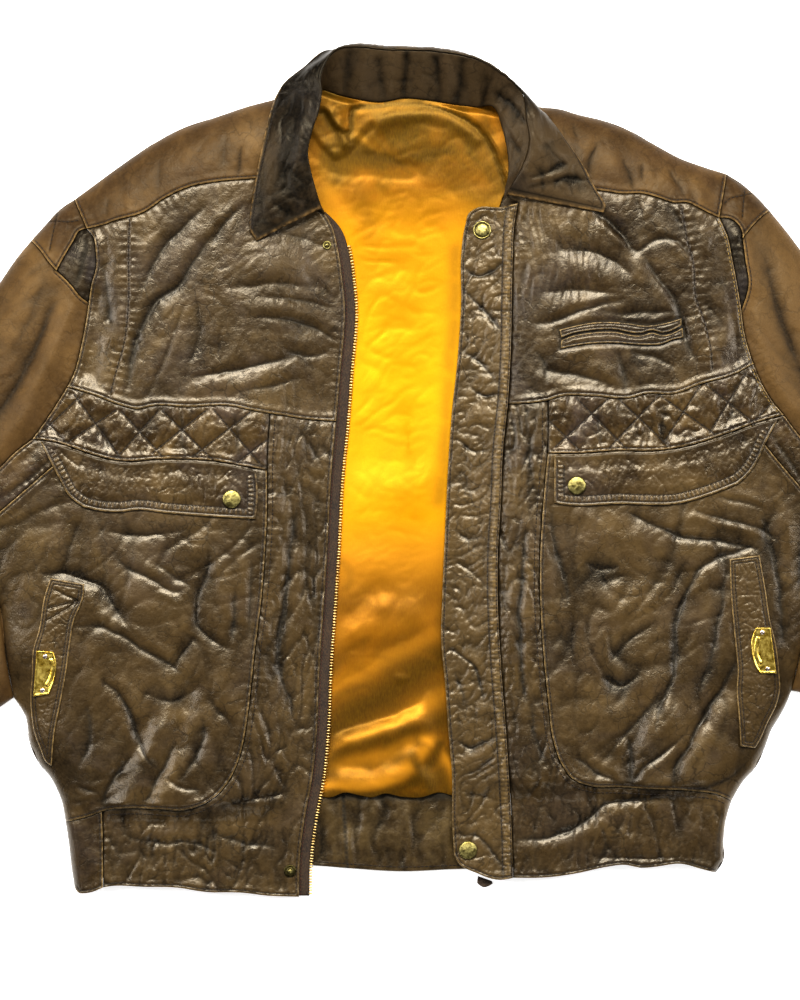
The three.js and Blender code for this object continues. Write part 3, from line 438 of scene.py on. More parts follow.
for pc, l, a, w in [
    # left front, above the chest seam
    ("front_upper_l", [[215,235],[194,262],[181,284],[155,305],[140,335],[132,365],[128,392]], -2.6, 5.5),
    ("front_upper_l", [[203,226],[194,241],[186,255],[176,275]], 1.8, 5),
    ("front_upper_l", [[246,202],[220,231],[213,247]], -1.8, 4), ("front_upper_l", [[251,195],[232,210],[215,224],[206,245]], 1.4, 4),
    ("front_upper_l", [[206,207],[180,231],[155,262],[143,288]], -1.8, 4.5), ("front_upper_l", [[166,215],[153,236],[141,262]], 1.4, 4.5),
    ("front_upper_l", [[186,305],[175,333],[166,356],[155,383],[148,400]], -1.0, 2.2), ("front_upper_l", [[192,305],[181,333],[172,356],[161,383]], 0.7, 3),
    ("front_upper_l", [[244,309],[272,308],[303,312],[327,322],[337,328]], 1.6, 4), ("front_upper_l", [[256,317],[287,320],[319,330],[334,338]], -1.7, 3.5),
    ("front_upper_l", [[262,297],[303,301],[334,309]], -1.2, 3.2), ("front_upper_l", [[284,335],[303,342],[327,335]], 1.2, 4), ("front_upper_l", [[284,349],[308,357],[330,352]], -1.2, 4),
    ("front_upper_l", [[194,389],[217,385],[256,382],[280,373],[298,366]], 1.6, 4.5), ("front_upper_l", [[190,377],[241,370],[272,362],[303,353]], -1.7, 4), ("front_upper_l", [[236,392],[272,386],[300,378]], -1.3, 3.5),
    ("front_upper_l", [[245,262],[280,268],[312,272]], 2.2, 13), ("front_upper_l", [[230,290],[262,284],[320,288]], -1.6, 8), ("front_upper_l", [[270,232],[300,238],[325,246]], -1.4, 7),
    ("front_upper_l", [[96,315],[102,333],[108,345]], 1.4, 4), ("front_upper_l", [[124,306],[116,326],[109,345]], 1.4, 4), ("front_upper_l", [[108,308],[110,325]], -1.6, 5),
    ("front_upper_l", [[100,260],[108,290],[112,330]], -1.2, 5), ("front_upper_l", [[112,232],[118,262],[121,290]], 1.3, 5),
    ("front_upper_l", [[215,262],[222,300],[214,345]], 1.6, 8), ("front_upper_l", [[196,300],[200,335],[190,362]], -1.4, 6), ("front_upper_l", [[240,330],[232,356],[214,366]], 1.2, 5),
    # yokes
    ("yoke_l", [[187,142],[184,176]], 1.3, 5), ("yoke_l", [[210,150],[203,178]], 1.3, 4), ("yoke_l", [[249,128],[248,178]], 1.6, 5), ("yoke_l", [[242,146],[238,178]], -1.6, 3.5), ("yoke_l", [[132,190],[129,217]], 1.2, 4),
    ("yoke_l", [[273,130],[268,172]], -1.4, 5), ("yoke_l", [[160,160],[158,196]], -1.1, 5), ("yoke_l", [[226,134],[222,176]], -1.0, 5), ("yoke_l", [[108,198],[106,220]], -1.0, 4),
    ("yoke_r", [[592,128],[587,152]], 1.6, 4), ("yoke_r", [[608,142],[612,169],[614,186]], 2.0, 5), ("yoke_r", [[597,143],[590,160],[588,176]], -1.8, 3.5), ("yoke_r", [[573,124],[578,142]], -1.2, 4),
    ("yoke_r", [[622,160],[630,180],[634,192]], -1.6, 4.5), ("yoke_r", [[644,160],[650,178],[664,194]], 1.6, 5), ("yoke_r", [[641,164],[642,182]], -1.6, 3.5), ("yoke_r", [[660,172],[674,194]], 1.1, 4), ("yoke_r", [[668,170],[684,198]], -1.2, 4),
    ("yoke_r", [[694,182],[702,205]], 1.0, 4), ("yoke_r", [[690,190],[696,206]], -0.9, 3), ("yoke_r", [[552,118],[562,138]], 1.4, 5),
    # right front, above the chest seam
    ("front_upper_r", [[594,211],[610,224],[622,236],[632,249],[640,253]], -2.8, 5), ("front_upper_r", [[598,223],[612,235],[630,249]], 1.8, 3),
    ("front_upper_r", [[640,252],[650,243],[664,239],[682,246],[690,256]], -1.8, 4), ("front_upper_r", [[642,255],[652,270],[662,285],[674,300],[680,318],[686,340],[694,362]], -2.4, 5),
    ("front_upper_r", [[637,256],[640,272],[642,288]], 1.6, 5), ("front_upper_r", [[655,280],[664,294],[672,318]], 1.8, 4.5), ("front_upper_r", [[648,214],[660,226],[678,250],[690,264]], 1.2, 4), ("front_upper_r", [[644,203],[647,226],[650,236]], 1.4, 4), ("front_upper_r", [[636,198],[640,216]], -1.2, 4),
    ("front_upper_r", [[616,200],[622,222]], 1.0, 4), ("front_upper_r", [[666,203],[678,222],[684,240]], -1.3, 4.5), ("front_upper_r", [[700,226],[704,240],[708,256]], 1.2, 4),
    ("front_upper_r", [[545,229],[575,232],[600,240],[620,252]], 1.6, 8), ("front_upper_r", [[560,250],[590,252],[620,266],[632,276]], -2.0, 8), ("front_upper_r", [[540,266],[580,268],[612,278],[636,286]], 2.0, 8),
    ("front_upper_r", [[540,292],[580,290],[620,296]], -1.3, 7), ("front_upper_r", [[545,312],[580,304],[612,300],[640,302]], 1.8, 6), ("front_upper_r", [[534,324],[560,320],[590,308],[624,301]], -2.0, 4),
    ("front_upper_r", [[600,312],[640,314],[676,312]], -1.2, 5), ("front_upper_r", [[560,356],[590,350],[612,350]], 1.4, 4.5), ("front_upper_r", [[545,372],[580,376],[612,386]], -1.6, 5), ("front_upper_r", [[588,364],[604,372],[614,382]], 1.8, 5),
    ("front_upper_r", [[618,352],[624,376],[626,394]], -1.6, 5), ("front_upper_r", [[630,352],[660,360],[676,368]], -1.2, 4), ("front_upper_r", [[645,368],[650,384]], 1.2, 5), ("front_upper_r", [[534,350],[544,364],[548,385]], -1.5, 5),
    ("front_upper_r", [[530,372],[560,386],[600,390]], 1.2, 4), ("front_upper_r", [[688,320],[695,340],[702,360]], 1.6, 3.5), ("front_upper_r", [[704,330],[712,350],[716,366]], 1.3, 3.5), ("front_upper_r", [[716,352],[726,340],[732,320]], 1.3, 4), ("front_upper_r", [[700,300],[712,312],[724,330]], -1.0, 4),
    # quilted bands
    ("quilt_band_l", [[100,420],[110,450]], -1.2, 5), ("quilt_band_l", [[180,415],[186,455]], -1.2, 5), ("quilt_band_l", [[236,415],[240,462]], -1.2, 5), ("quilt_band_r", [[596,405],[600,446]], -1.2, 5), ("quilt_band_r", [[664,402],[660,446]], -1.4, 6), ("quilt_band_r", [[735,385],[730,425]], -1.2, 5),
    # left pocket panel
    ("pocket_panel_l", [[40,573],[58,573],[85,579],[102,586],[115,607],[126,625]], -2.8, 6.5), ("pocket_panel_l", [[60,590],[85,598],[99,611],[120,632]], 1.8, 5), ("pocket_panel_l", [[76,627],[99,627],[120,634],[140,648],[165,662],[183,673]], -2.0, 4.5), ("pocket_panel_l", [[90,618],[122,624],[146,642],[178,660]], 1.2, 4.5),
    ("pocket_panel_l", [[115,552],[120,562],[133,571],[154,580],[172,591],[188,589]], -1.9, 4.5), ("pocket_panel_l", [[120,548],[136,562],[158,572],[176,580]], 1.3, 5), ("pocket_panel_l", [[154,562],[172,575],[192,587]], -1.2, 3), ("pocket_panel_l", [[206,536],[200,546],[190,558]], 1.2, 4.5),
    ("pocket_panel_l", [[208,548],[206,577],[197,600],[197,621],[211,639],[229,650]], -2.6, 6), ("pocket_panel_l", [[217,556],[224,589],[227,625]], 2.0, 4.5), ("pocket_panel_l", [[235,590],[233,643]], -1.8, 4.5), ("pocket_panel_l", [[243,545],[243,625]], 1.5, 4), ("pocket_panel_l", [[252,560],[250,640]], -1.2, 3.5),
    ("pocket_panel_l", [[130,590],[160,600],[188,628]], 2.6, 15), ("pocket_panel_l", [[196,636],[184,652],[172,668]], -2.2, 6), ("pocket_panel_l", [[67,516],[51,554]], 1.6, 5), ("pocket_panel_l", [[82,520],[70,548],[66,570]], -1.4, 6),
    ("pocket_panel_l", [[103,681],[115,690],[126,706],[136,730],[143,749],[150,761],[159,768]], -2.2, 4), ("pocket_panel_l", [[108,691],[119,711],[129,737],[137,756]], 1.5, 3.5), ("pocket_panel_l", [[112,676],[130,694],[142,722]], 1.6, 5),
    ("pocket_panel_l", [[176,743],[163,769],[150,794],[145,808]], -2.2, 3.5), ("pocket_panel_l", [[184,748],[172,772],[158,796]], 1.6, 3.8), ("pocket_panel_l", [[131,756],[121,769],[113,781],[106,793],[103,808]], -2.0, 3.4), ("pocket_panel_l", [[124,750],[112,768],[103,784],[97,800]], 1.5, 4),
    ("pocket_panel_l", [[204,718],[203,739],[193,763],[184,777]], -1.8, 4), ("pocket_panel_l", [[213,716],[212,742],[202,766]], 1.4, 4.5), ("pocket_panel_l", [[166,776],[176,785],[186,789],[200,788]], -1.3, 3), ("pocket_panel_l", [[126,785],[153,790],[173,793],[196,791]], 1.2, 4), ("pocket_panel_l", [[77,784],[90,790],[101,793]], -1.4, 3),
    ("pocket_panel_l", [[90,748],[104,752],[120,748]], 1.4, 4), ("pocket_panel_l", [[209,698],[232,727]], -1.3, 4), ("pocket_panel_l", [[226,690],[238,720]], 1.2, 4), ("pocket_panel_l", [[140,690],[170,700],[196,690]], -1.6, 9), ("pocket_panel_l", [[150,725],[176,722],[196,712]], 1.8, 8),
    ("pocket_panel_l", [[100,530],[140,535],[190,530]], -1.4, 6), ("pocket_panel_l", [[98,640],[92,672],[98,710]], 1.8, 6), ("pocket_panel_l", [[86,705],[90,740],[78,768]], -1.6, 5), ("pocket_panel_l", [[232,656],[224,690],[214,716]], 1.6, 6),
    # right pocket panel
    ("pocket_panel_r", [[566,514],[600,520],[633,534],[664,547]], 2.0, 6), ("pocket_panel_r", [[625,511],[643,521],[663,529],[681,537],[714,541],[744,546],[759,551]], -2.0, 3.4), ("pocket_panel_r", [[694,511],[722,519],[756,528],[778,540]], -1.6, 3), ("pocket_panel_r", [[666,526],[689,517],[722,524],[756,534]], 1.5, 3.4),
    ("pocket_panel_r", [[716,496],[739,501],[761,508]], -1.2, 2.6), ("pocket_panel_r", [[730,490],[750,498],[770,504]], 1.1, 3), ("pocket_panel_r", [[762,515],[772,554],[779,596],[782,640]], -2.0, 5), ("pocket_panel_r", [[775,496],[786,529],[790,570]], 1.8, 4), ("pocket_panel_r", [[800,520],[800,560],[796,600]], -1.6, 5),
    ("pocket_panel_r", [[700,566],[684,596],[676,620],[674,650],[672,680],[660,705],[656,730]], -2.4, 3.4), ("pocket_panel_r", [[752,548],[724,556],[704,566],[690,586]], -1.8, 3.2), ("pocket_panel_r", [[712,566],[702,592],[694,640],[692,664]], 1.7, 6), ("pocket_panel_r", [[726,572],[720,610],[712,650],[700,690]], -2.0, 5), ("pocket_panel_r", [[738,560],[728,590],[726,630],[720,670]], 1.5, 4),
    ("pocket_panel_r", [[683,595],[680,612]], -1.2, 3), ("pocket_panel_r", [[682,560],[672,590],[664,600]], -1.6, 6), ("pocket_panel_r", [[575,545],[600,540],[628,552],[636,572]], 1.4, 6), ("pocket_panel_r", [[585,560],[604,570],[618,566]], -2.4, 12),
    ("pocket_panel_r", [[594,655],[610,625],[636,600],[656,585]], 2.2, 9), ("pocket_panel_r", [[610,660],[634,636],[656,620]], -2.0, 9), ("pocket_panel_r", [[576,600],[572,640],[578,680]], -1.6, 7), ("pocket_panel_r", [[590,700],[620,712],[646,690],[662,668]], 1.8, 7), ("pocket_panel_r", [[600,676],[622,686],[640,672]], -2.2, 8),
    ("pocket_panel_r", [[552,508],[554,540],[562,570],[568,600]], -1.6, 3.4), ("pocket_panel_r", [[546,540],[550,580],[556,620]], 1.2, 3), ("pocket_panel_r", [[628,738],[630,760],[631,782]], -2.4, 3), ("pocket_panel_r", [[622,738],[622,762]], 1.2, 3.4), ("pocket_panel_r", [[632,782],[645,768],[664,752],[690,728]], -1.9, 2.8), ("pocket_panel_r", [[640,782],[660,764],[684,742]], 1.6, 3.6),
    ("pocket_panel_r", [[673,788],[674,771],[688,745],[706,712],[724,684],[734,664]], -2.8, 3.6), ("pocket_panel_r", [[664,786],[668,762],[682,736],[706,700]], 1.8, 4), ("pocket_panel_r", [[684,780],[696,750],[716,716]], 1.6, 6), ("pocket_panel_r", [[664,688],[650,706],[620,740],[606,756]], -1.4, 5),
    ("pocket_panel_r", [[575,756],[596,772],[622,784]], -1.6, 3.4), ("pocket_panel_r", [[582,750],[606,768],[628,778]], 1.3, 3.4), ("pocket_panel_r", [[684,790],[712,786],[730,778],[745,766]], -1.6, 3), ("pocket_panel_r", [[690,776],[716,770],[740,748]], 1.2, 5), ("pocket_panel_r", [[640,724],[664,728],[684,720]], 1.4, 7),
    # bands and strips
    ("front_band_l", [[297,509],[290,553],[285,607],[279,636],[281,675],[290,698],[292,715]], -2.2, 3.6), ("front_band_l", [[288,500],[280,553],[274,607],[268,650]], 1.6, 4), ("front_band_l", [[304,520],[298,560],[295,625],[296,670]], 1.5, 3.6), ("front_band_l", [[313,560],[315,600],[315,643]], -1.1, 2.6),
    ("front_band_l", [[262,716],[261,733],[268,748]], 1.4, 4), ("front_band_l", [[272,758],[285,789]], -1.1, 2.2), ("front_band_l", [[271,756],[287,746]], -1.1, 2.2), ("front_band_l", [[220,806],[250,800],[286,792]], -2.0, 6), ("front_band_l", [[226,828],[255,825],[284,822]], 1.6, 5),
    ("front_band_l", [[126,836],[159,843],[201,844],[218,856]], -1.4, 3.2), ("front_band_l", [[124,828],[160,834],[204,836]], 1.1, 4), ("front_band_l", [[214,834],[249,844],[276,846]], -1.3, 3), ("front_band_l", [[176,849],[209,874]], -1.0, 2.6), ("front_band_l", [[222,858],[244,871]], -1.0, 2.6), ("front_band_l", [[124,815],[125,836]], -1.1, 2.4),
    ("front_band_l", [[282,430],[276,480],[272,540]], 1.1, 4), ("front_band_l", [[300,430],[312,450],[322,470]], -1.1, 4), ("front_band_l", [[130,868],[165,872],[196,880]], 1.0, 4),
    ("front_band_r", [[525,530],[522,580],[520,600],[521,651],[525,702]], -2.4, 3), ("front_band_r", [[530,520],[528,580],[527,651],[532,710]], 1.4, 3), ("front_band_r", [[514,560],[511,620],[512,690]], 1.3, 4), ("front_band_r", [[532,700],[536,740],[548,768]], -1.4, 4),
    ("front_band_r", [[514,840],[546,838],[584,822],[604,806],[640,800],[672,797]], -2.2, 4.2), ("front_band_r", [[520,848],[552,846],[590,832],[616,816],[656,806]], 1.6, 4.5), ("front_band_r", [[520,800],[556,796],[590,800]], 1.4, 6), ("front_band_r", [[600,824],[606,840],[600,856]], -1.2, 3), ("front_band_r", [[620,830],[640,846],[660,840]], 1.3, 6),
    ("front_band_r", [[724,806],[719,835],[717,862]], -1.8, 2.4), ("front_band_r", [[731,804],[726,835],[723,858]], 1.0, 2.4), ("front_band_r", [[584,856],[620,858],[660,858],[700,858]], -1.0, 3), ("front_band_r", [[690,806],[700,830],[696,850]], 1.0, 6), ("front_band_r", [[516,450],[520,500],[522,530]], 1.3, 4), ("front_band_r", [[530,430],[528,480],[530,520]], -1.1, 3),
    # placket
    ("placket_r", [[466,268],[478,276],[492,272],[504,262]], -1.8, 3), ("placket_r", [[468,262],[482,268],[496,262]], 1.2, 3), ("placket_r", [[463,290],[476,302],[490,318],[500,330]], -1.8, 3), ("placket_r", [[486,284],[492,300],[500,306]], 1.4, 4), ("placket_r", [[472,318],[484,326],[492,342]], 1.4, 4),
    ("placket_r", [[462,350],[478,360],[494,380]], -1.5, 3), ("placket_r", [[470,386],[484,396],[500,392]], -1.4, 3), ("placket_r", [[466,424],[482,414],[496,424]], 1.2, 4), ("placket_r", [[458,440],[474,452],[490,448]], -1.4, 3), ("placket_r", [[462,470],[480,476],[494,468]], 1.1, 4),
    ("placket_r", [[455,530],[470,540],[484,536]], -1.2, 3), ("placket_r", [[456,560],[474,574],[490,590]], -1.1, 3), ("placket_r", [[450,610],[466,624],[480,620]], 1.0, 4), ("placket_r", [[448,648],[462,656],[474,668],[480,688],[484,702]], -1.8, 2.8), ("placket_r", [[456,650],[470,658],[482,674]], 1.1, 3),
    ("placket_r", [[454,672],[462,690],[464,706]], -1.3, 2.6), ("placket_r", [[468,720],[484,712],[494,716]], 1.2, 4), ("placket_r", [[456,740],[468,748],[486,742],[500,730]], -1.5, 2.8), ("placket_r", [[458,768],[474,756],[492,752]], 1.1, 3), ("placket_r", [[460,778],[478,770],[496,756]], -1.2, 2.6), ("placket_r", [[462,790],[480,796],[500,800]], -1.0, 3),
    ("placket_r", [[458,838],[470,834],[484,842],[496,858],[508,868]], -1.6, 3), ("placket_r", [[468,862],[484,866],[500,874]], 1.0, 3), ("placket_r", [[485.5,503],[485.6,503.5]], 1.5, 7), ("placket_r", [[489,829],[489.1,829.5]], 1.5, 7),
    # sleeves, gussets and inserts
    ("sleeve_upper_l", [[72,290],[60,330],[40,378],[16,424],[-14,456]], 2.4, 9), ("sleeve_upper_l", [[56,300],[36,350],[8,400],[-30,440]], -2.4, 8), ("sleeve_upper_l", [[30,262],[20,300],[-6,340]], 1.6, 7), ("sleeve_upper_l", [[46,275],[34,310],[14,350]], -1.0, 5), ("sleeve_upper_l", [[-40,400],[-80,470],[-150,560]], 2.6, 12),
    ("sleeve_upper_l", [[-20,500],[-70,560],[-150,640]], -2.6, 9), ("sleeve_upper_l", [[-60,600],[-110,680],[-180,760]], 2.4, 9), ("sleeve_upper_l", [[-150,560],[-200,640],[-250,720]], -2.4, 9), ("sleeve_upper_l", [[-30,580],[-10,640],[0,690]], 2.0, 8), ("sleeve_upper_l", [[-60,690],[-90,730],[-130,780]], -2.0, 8),
    ("sleeve_upper_r", [[748,300],[758,340],[772,380],[796,420]], 2.2, 6), ("sleeve_upper_r", [[764,250],[772,290],[784,330],[800,370],[820,420]], -1.8, 7), ("sleeve_upper_r", [[784,250],[790,290],[800,330]], 1.4, 6), ("sleeve_upper_r", [[830,380],[880,450],[940,540]], 2.6, 12), ("sleeve_upper_r", [[830,470],[880,540],[950,620]], -2.6, 9),
    ("sleeve_upper_r", [[850,580],[910,660],[980,740]], 2.4, 9), ("sleeve_upper_r", [[930,540],[990,620],[1050,700]], -2.4, 9), ("sleeve_upper_r", [[830,560],[812,620],[804,670]], 2.0, 8), ("sleeve_upper_r", [[860,670],[890,710],[930,760]], -2.0, 8),
    ("sleeve_insert_r", [[730,236],[737,262],[742,290]], -1.0, 3), ("sleeve_insert_l", [[84,234],[84,262],[76,288]], -2.0, 4), ("sleeve_insert_l", [[92,240],[92,268],[84,292]], 1.2, 3),
    ("side_gusset_l", [[34,445],[10,470],[-14,496]], 1.5, 5), ("side_gusset_l", [[60,452],[36,474],[0,500]], -1.4, 5), ("side_gusset_r", [[784,424],[800,450],[820,476]], 1.5, 4), ("side_gusset_r", [[770,430],[790,464],[815,498]], -1.5, 5),
]:
    crease(pc, l, a, w)

quilts = {"quilt_band_l": [[(162,410),(214,461)],[(214,410),(263,467)],[(122,412),(163,457)],[(74,394),(121,458)],[(48,422),(66,442)],[(207,410),(153,453)],[(251,412),(193,457)],[(158,412),(117,458)],[(117,410),(69,442)],[(84,393),(37,438)],[(267,440),(237,463)]],
          "quilt_band_r": [[(576,398),(627,450)],[(617,398),(667,445)],[(660,396),(714,434)],[(704,383),(755,425)],[(742,373),(760,382)],[(550,422),(579,450)],[(609,398),(554,448)],[(658,396),(609,448)],[(701,384),(663,443)],[(747,371),(709,433)],[(772,402),(755,420)]]}
darts = {"front_upper_l": [[[130,219],[129,255],[129,300],[124,346],[116,374],[111,394]]], "front_upper_r": [[[681,207],[686,237],[693,265],[696,300],[701,313],[710,348],[712,369]]],
         "sleeve_patch_l": [[[57,213],[55,223],[50,250]], [[48,221],[58,221],[70,222],[79,220]]], "sleeve_patch_r": [[[745,190],[744,197],[742,218]], [[724,204],[729,199],[740,196],[752,193]]]}

# wrinkling of each piece: (size mm, depth mm, stretch, direction deg, seed), more than one layer
WR = {
    "default": [(26, 0.9, 1.4, 60, 1), (9, 0.28, 1.3, 20, 2)],
    "front_upper_l": [(24, 1.0, 1.5, 70, 3), (8, 0.30, 1.4, 80, 4)], "front_upper_r": [(26, 0.9, 1.5, 75, 5), (8, 0.30, 1.5, 85, 6)],
    "placket_r": [(18, 2.2, 1.3, 40, 7), (7, 0.5, 1.4, 75, 8)], "front_band_r": [(18, 1.8, 2.6, 88, 9), (6, 0.62, 2.0, 85, 10)], "front_band_l": [(18, 1.8, 2.6, 86, 11), (6, 0.62, 2.2, 84, 12)],
    "pocket_panel_l": [(46, 2.2, 1.3, 60, 13), (10, 0.34, 1.3, 40, 14)], "pocket_panel_r": [(48, 2.6, 1.5, 65, 15), (10, 0.34, 1.4, 50, 16)],
    "quilt_band_l": [(13, 1.1, 1.8, 85, 17), (6, 0.4, 1.6, 80, 18)], "quilt_band_r": [(13, 1.2, 1.8, 85, 19), (6, 0.42, 1.6, 80, 20)],
    "yoke_l": [(26, 0.8, 1.5, 80, 21), (9, 0.2, 1.3, 70, 22)], "yoke_r": [(24, 0.9, 1.6, 75, 23), (8, 0.25, 1.4, 70, 24)],
    "hand_welt_l": [(8, 0.8, 1.0, 0, 25), (4, 0.3, 1.0, 0, 26)], "hand_welt_r": [(8, 0.8, 1.0, 0, 27), (4, 0.3, 1.0, 0, 28)],
    "flap_l": [(14, 1.5, 2.0, 85, 29), (6, 0.5, 1.5, 80, 129)], "flap_r": [(14, 1.3, 2.0, 85, 30), (6, 0.5, 1.5, 80, 130)], "sleeve_upper_l": [(40, 1.6, 1.6, 55, 31), (10, 0.25, 1.3, 60, 32)], "sleeve_upper_r": [(40, 1.6, 1.6, -55, 33), (10, 0.25, 1.3, -60, 34)],
    "waistband_side_l": [(14, 0.5, 1.5, 85, 35)], "sleeve_patch_l": [(14, 0.5, 1.3, 60, 36)], "sleeve_patch_r": [(14, 0.6, 1.3, 60, 37)],
}

# ---------------------------------------------------------------- outlines and seams of the pieces
# kinds: over = folded edge lying on its neighbour, under = tucked below it, free = turned and stitched edge, none = rolls away
PIECES = {
    "yoke_l": [(("neckL1",), "under"), (("yokeL",), "over"), (("-armL1",), "over"), (("-shoulderL",), "none")],
    "yoke_r": [(("neckR1",), "under"), (("yokeR",), "over"), (("-armR1",), "over"), (("-shoulderR",), "none")],
    "front_upper_l": [(("neckL2",), "under"), (("frontL1",), "free"), (("-chestL2", "-chestL1"), "over"), (("-armL3", "-armL2"), "over"), (("-yokeL",), "under")],
    "front_upper_r": [(("neckR2",), "under"), (("ridge1",), "under"), (("chestR1", "chestR2"), "over"), (("-armR3", "-armR2"), "over"), (("-yokeR",), "under")],
    "quilt_band_l": [(("chestL1",), "under"), (("stripL1",), "under"), (("-bandBotL2", "-bandBotL1"), "over"), (("-armL4",), "over")],
    "quilt_band_r": [(("chestR2",), "under"), (("armR4",), "over"), (("-bandBotR2", "-bandBotR1"), "over"), (("-stripR1",), "under")],
    "side_gusset_l": [(("bandBotL1",), "under"), (("gussetL",), "under"), (("sideTopL",), "none"), (("-armL5",), "over")],
    "side_gusset_r": [(("bandBotR2",), "under"), (("armR5",), "over"), (("-sideTopR",), "none"), (("-gussetR",), "under")],
    "pocket_panel_l": [(("bandBotL2",), "under"), (("stripL2", "stripL3"), "over"), (("-sideLowL",), "none"), (("sideUpL",), "none"), (("-gussetL",), "over")],
    "pocket_panel_r": [(("bandBotR1",), "under"), (("gussetR",), "over"), (("-sideUpR",), "none"), (("sideLowR",), "none"), (("-stripR2",), "over")],
    "front_band_l": [(("chestL2",), "under"), (("frontL2",), "free"), (("-hemL",), "free"), (("-bandSeamL",), "under"), (("-stripL2", "-stripL1"), "under")],
    "waistband_side_l": [(("-stripL3",), "under"), (("bandSeamL",), "over"), (("-hemSideL",), "free"), (("-bandEndL",), "none")],
    "front_band_r": [(("chestR1",), "under"), (("stripR1", "stripR2"), "under"), (("bandEndR",), "none"), (("-hemR",), "free"), (("-ridge2",), "under")],
    "placket_r": [(("placketTop",), "free"), (("ridge1", "ridge2"), "ridge"), (("-placketBot",), "free"), (("-placketL",), "free")],
    "sleeve_patch_l": [(("armL1",), "under"), (("patchBotL",), "over"), (("patchSideL",), "over"), (("-patchOutL",), "none")],
    "sleeve_patch_r": [(("patchOutR",), "none"), (("patchBotR",), "over"), (("-insTopR",), "over"), (("-armR1",), "under")],
    "sleeve_insert_l": [(("armL2",), "under"), (("insBotL",), "under"), (("-patchBotL",), "under")],
    "sleeve_insert_r": [(("-armR2",), "under"), (("insTopR",), "under"), (("insBotR",), "under")],
    "sleeve_upper_l": [(("sleeveOutL",), "none"), (([(-300, 745), (-190, 838)],), "under"), (("sleeveLowL",), "none"), (("sideUpL", "sideTopL"), "none"), (("-armL5", "-armL4", "-armL3"), "under"), (("insBotL",), "over"), (("patchSideL",), "under")],
    "sleeve_upper_r": [(("sleeveOutR",), "none"), (([(1098, 715), (985, 810)],), "under"), (("sleeveLowR",), "none"), (("sideUpR", "sideTopR"), "none"), (("-armR5", "-armR4", "-armR3"), "under"), (("-insBotR",), "over"), (("-patchBotR",), "under")],
}
MATTE = {"yoke_l", "yoke_r", "sleeve_patch_l", "sleeve_patch_r", "sleeve_upper_l", "sleeve_upper_r"}
flapL = [[41,441.5],[56,444.5],[75,450.5],[102,459.5],[125,463.5],[158,461.5],[189,461.5],[217,463.5],[245,468.5],[256,471],[258,494],[256,519],[204,516],[166,513],[138,510],[120,512],[102,511],[84,507],[69,495],[60,479],[48,456]]
flapR = [[554,455.5],[579,455.5],[617,453],[655,453],[681,449.5],[719,438.5],[750,427],[767,421.5],[778,419],[765,443],[759,457],[749,473],[737,484],[706,496],[681,503],[617,504],[566,505],[554,503]]
weltL = [[51,578],[85,584],[84,596],[74,623],[71,642],[66,677],[61,703],[55,733],[52,766],[47,763],[40,748],[34,732],[31,712],[30.5,695],[32,677],[34,647],[39,631],[45,596]]
weltR = [[729,559],[759,555],[765,589],[770,622],[775,642],[779,672],[780,690],[776,706],[768,722],[760,740],[755,748],[740,746],[738,714],[736,691],[737,668],[736,657],[733,627],[730,591]]
chestUp = [[559,330],[597,322.5],[627,323.5],[644,326],[662,324],[681,318.5],[681,325.5],[662,333],[651,330.5],[642,333],[611,329.5],[583,331.5],[573,333.5],[561,338]]
chestLow = [[561,340.5],[573,336],[583,334],[611,332],[642,335.5],[651,333],[662,335.5],[682,328],[683,338],[672,340],[662,344],[642,345],[611,343],[589,344],[560,349]]
# name, outline, corners, height above the panel, thickness, stitch rows (mm in from the edge), cell
OVERLAYS = [
    ("flap_l", flapL, [0, 9, 11, 17], 2.6, 2.0, (2.4, 8.0), 0.95), ("flap_r", flapR, [0, 8, 12, 17], 2.6, 2.0, (2.4, 8.0), 0.95),
    ("hand_welt_l", weltL, [0, 1, 8], 2.1, 1.6, (1.8, 4.2), 0.95), ("hand_welt_r", weltR, [0, 1, 10, 11], 2.1, 1.6, (1.8, 4.2), 0.95),
    ("chest_welt_upper", chestUp, [0, 5, 6, 13], 2.3, 1.6, (1.6,), 0.9), ("chest_welt_lower", chestLow, [0, 7, 8, 14], 2.1, 1.6, (1.6,), 0.9),
]
over_rings = {n: closed(p, c) for n, p, c, *_ in OVERLAYS}
UNDER_OVERLAY = {"pocket_panel_l": ["flap_l", "hand_welt_l"], "pocket_panel_r": ["flap_r", "hand_welt_r"], "side_gusset_l": ["flap_l"], "side_gusset_r": ["flap_r"], "front_upper_r": ["chest_welt_upper", "chest_welt_lower"]}


def part_of(s):
    return s if isinstance(s, str) else mm(s)


def creases(name, P):
    h, line_ = np.zeros(len(P)), np.zeros(len(P))
    W = P + 1.9 * np.column_stack((noise(P[:, 0] / 17, P[:, 1] / 17, 41), noise(P[:, 0] / 17, P[:, 1] / 17, 42))) + 0.5 * np.column_stack((noise(P[:, 0] / 5, P[:, 1] / 5, 43), noise(P[:, 0] / 5, P[:, 1] / 5, 44)))
    for L, a, w in CR.get(name, ()):
        w = w * (1.0 if a < 0 else 1.35)
        d, s, _ = near(W, L, 3.2 * w)
        T = float(np.hypot(*np.diff(L, axis=0).T).sum())
        f = 1.0 if T < 3 else 0.15 + 0.85 * np.sin(np.pi * np.clip(s / T, 0, 1))**0.6
        q = np.minimum(d / w, 9)
        g = 0.9 * (0.40 * np.exp(-q**2) + 0.60 * np.exp(-q / 0.34)) if a < 0 else 0.55 * np.exp(-q**2)
        h += a * f * g * (d < 3.2 * w)
        # a narrow line of painted shade along the centre of deep troughs
        if a < -1.1 and w < 6:
            line_ = np.maximum(line_, min(1.0, -a / 2.4) * f * np.exp(-(np.minimum(d, 9) / 0.8)**2))
    return h, line_


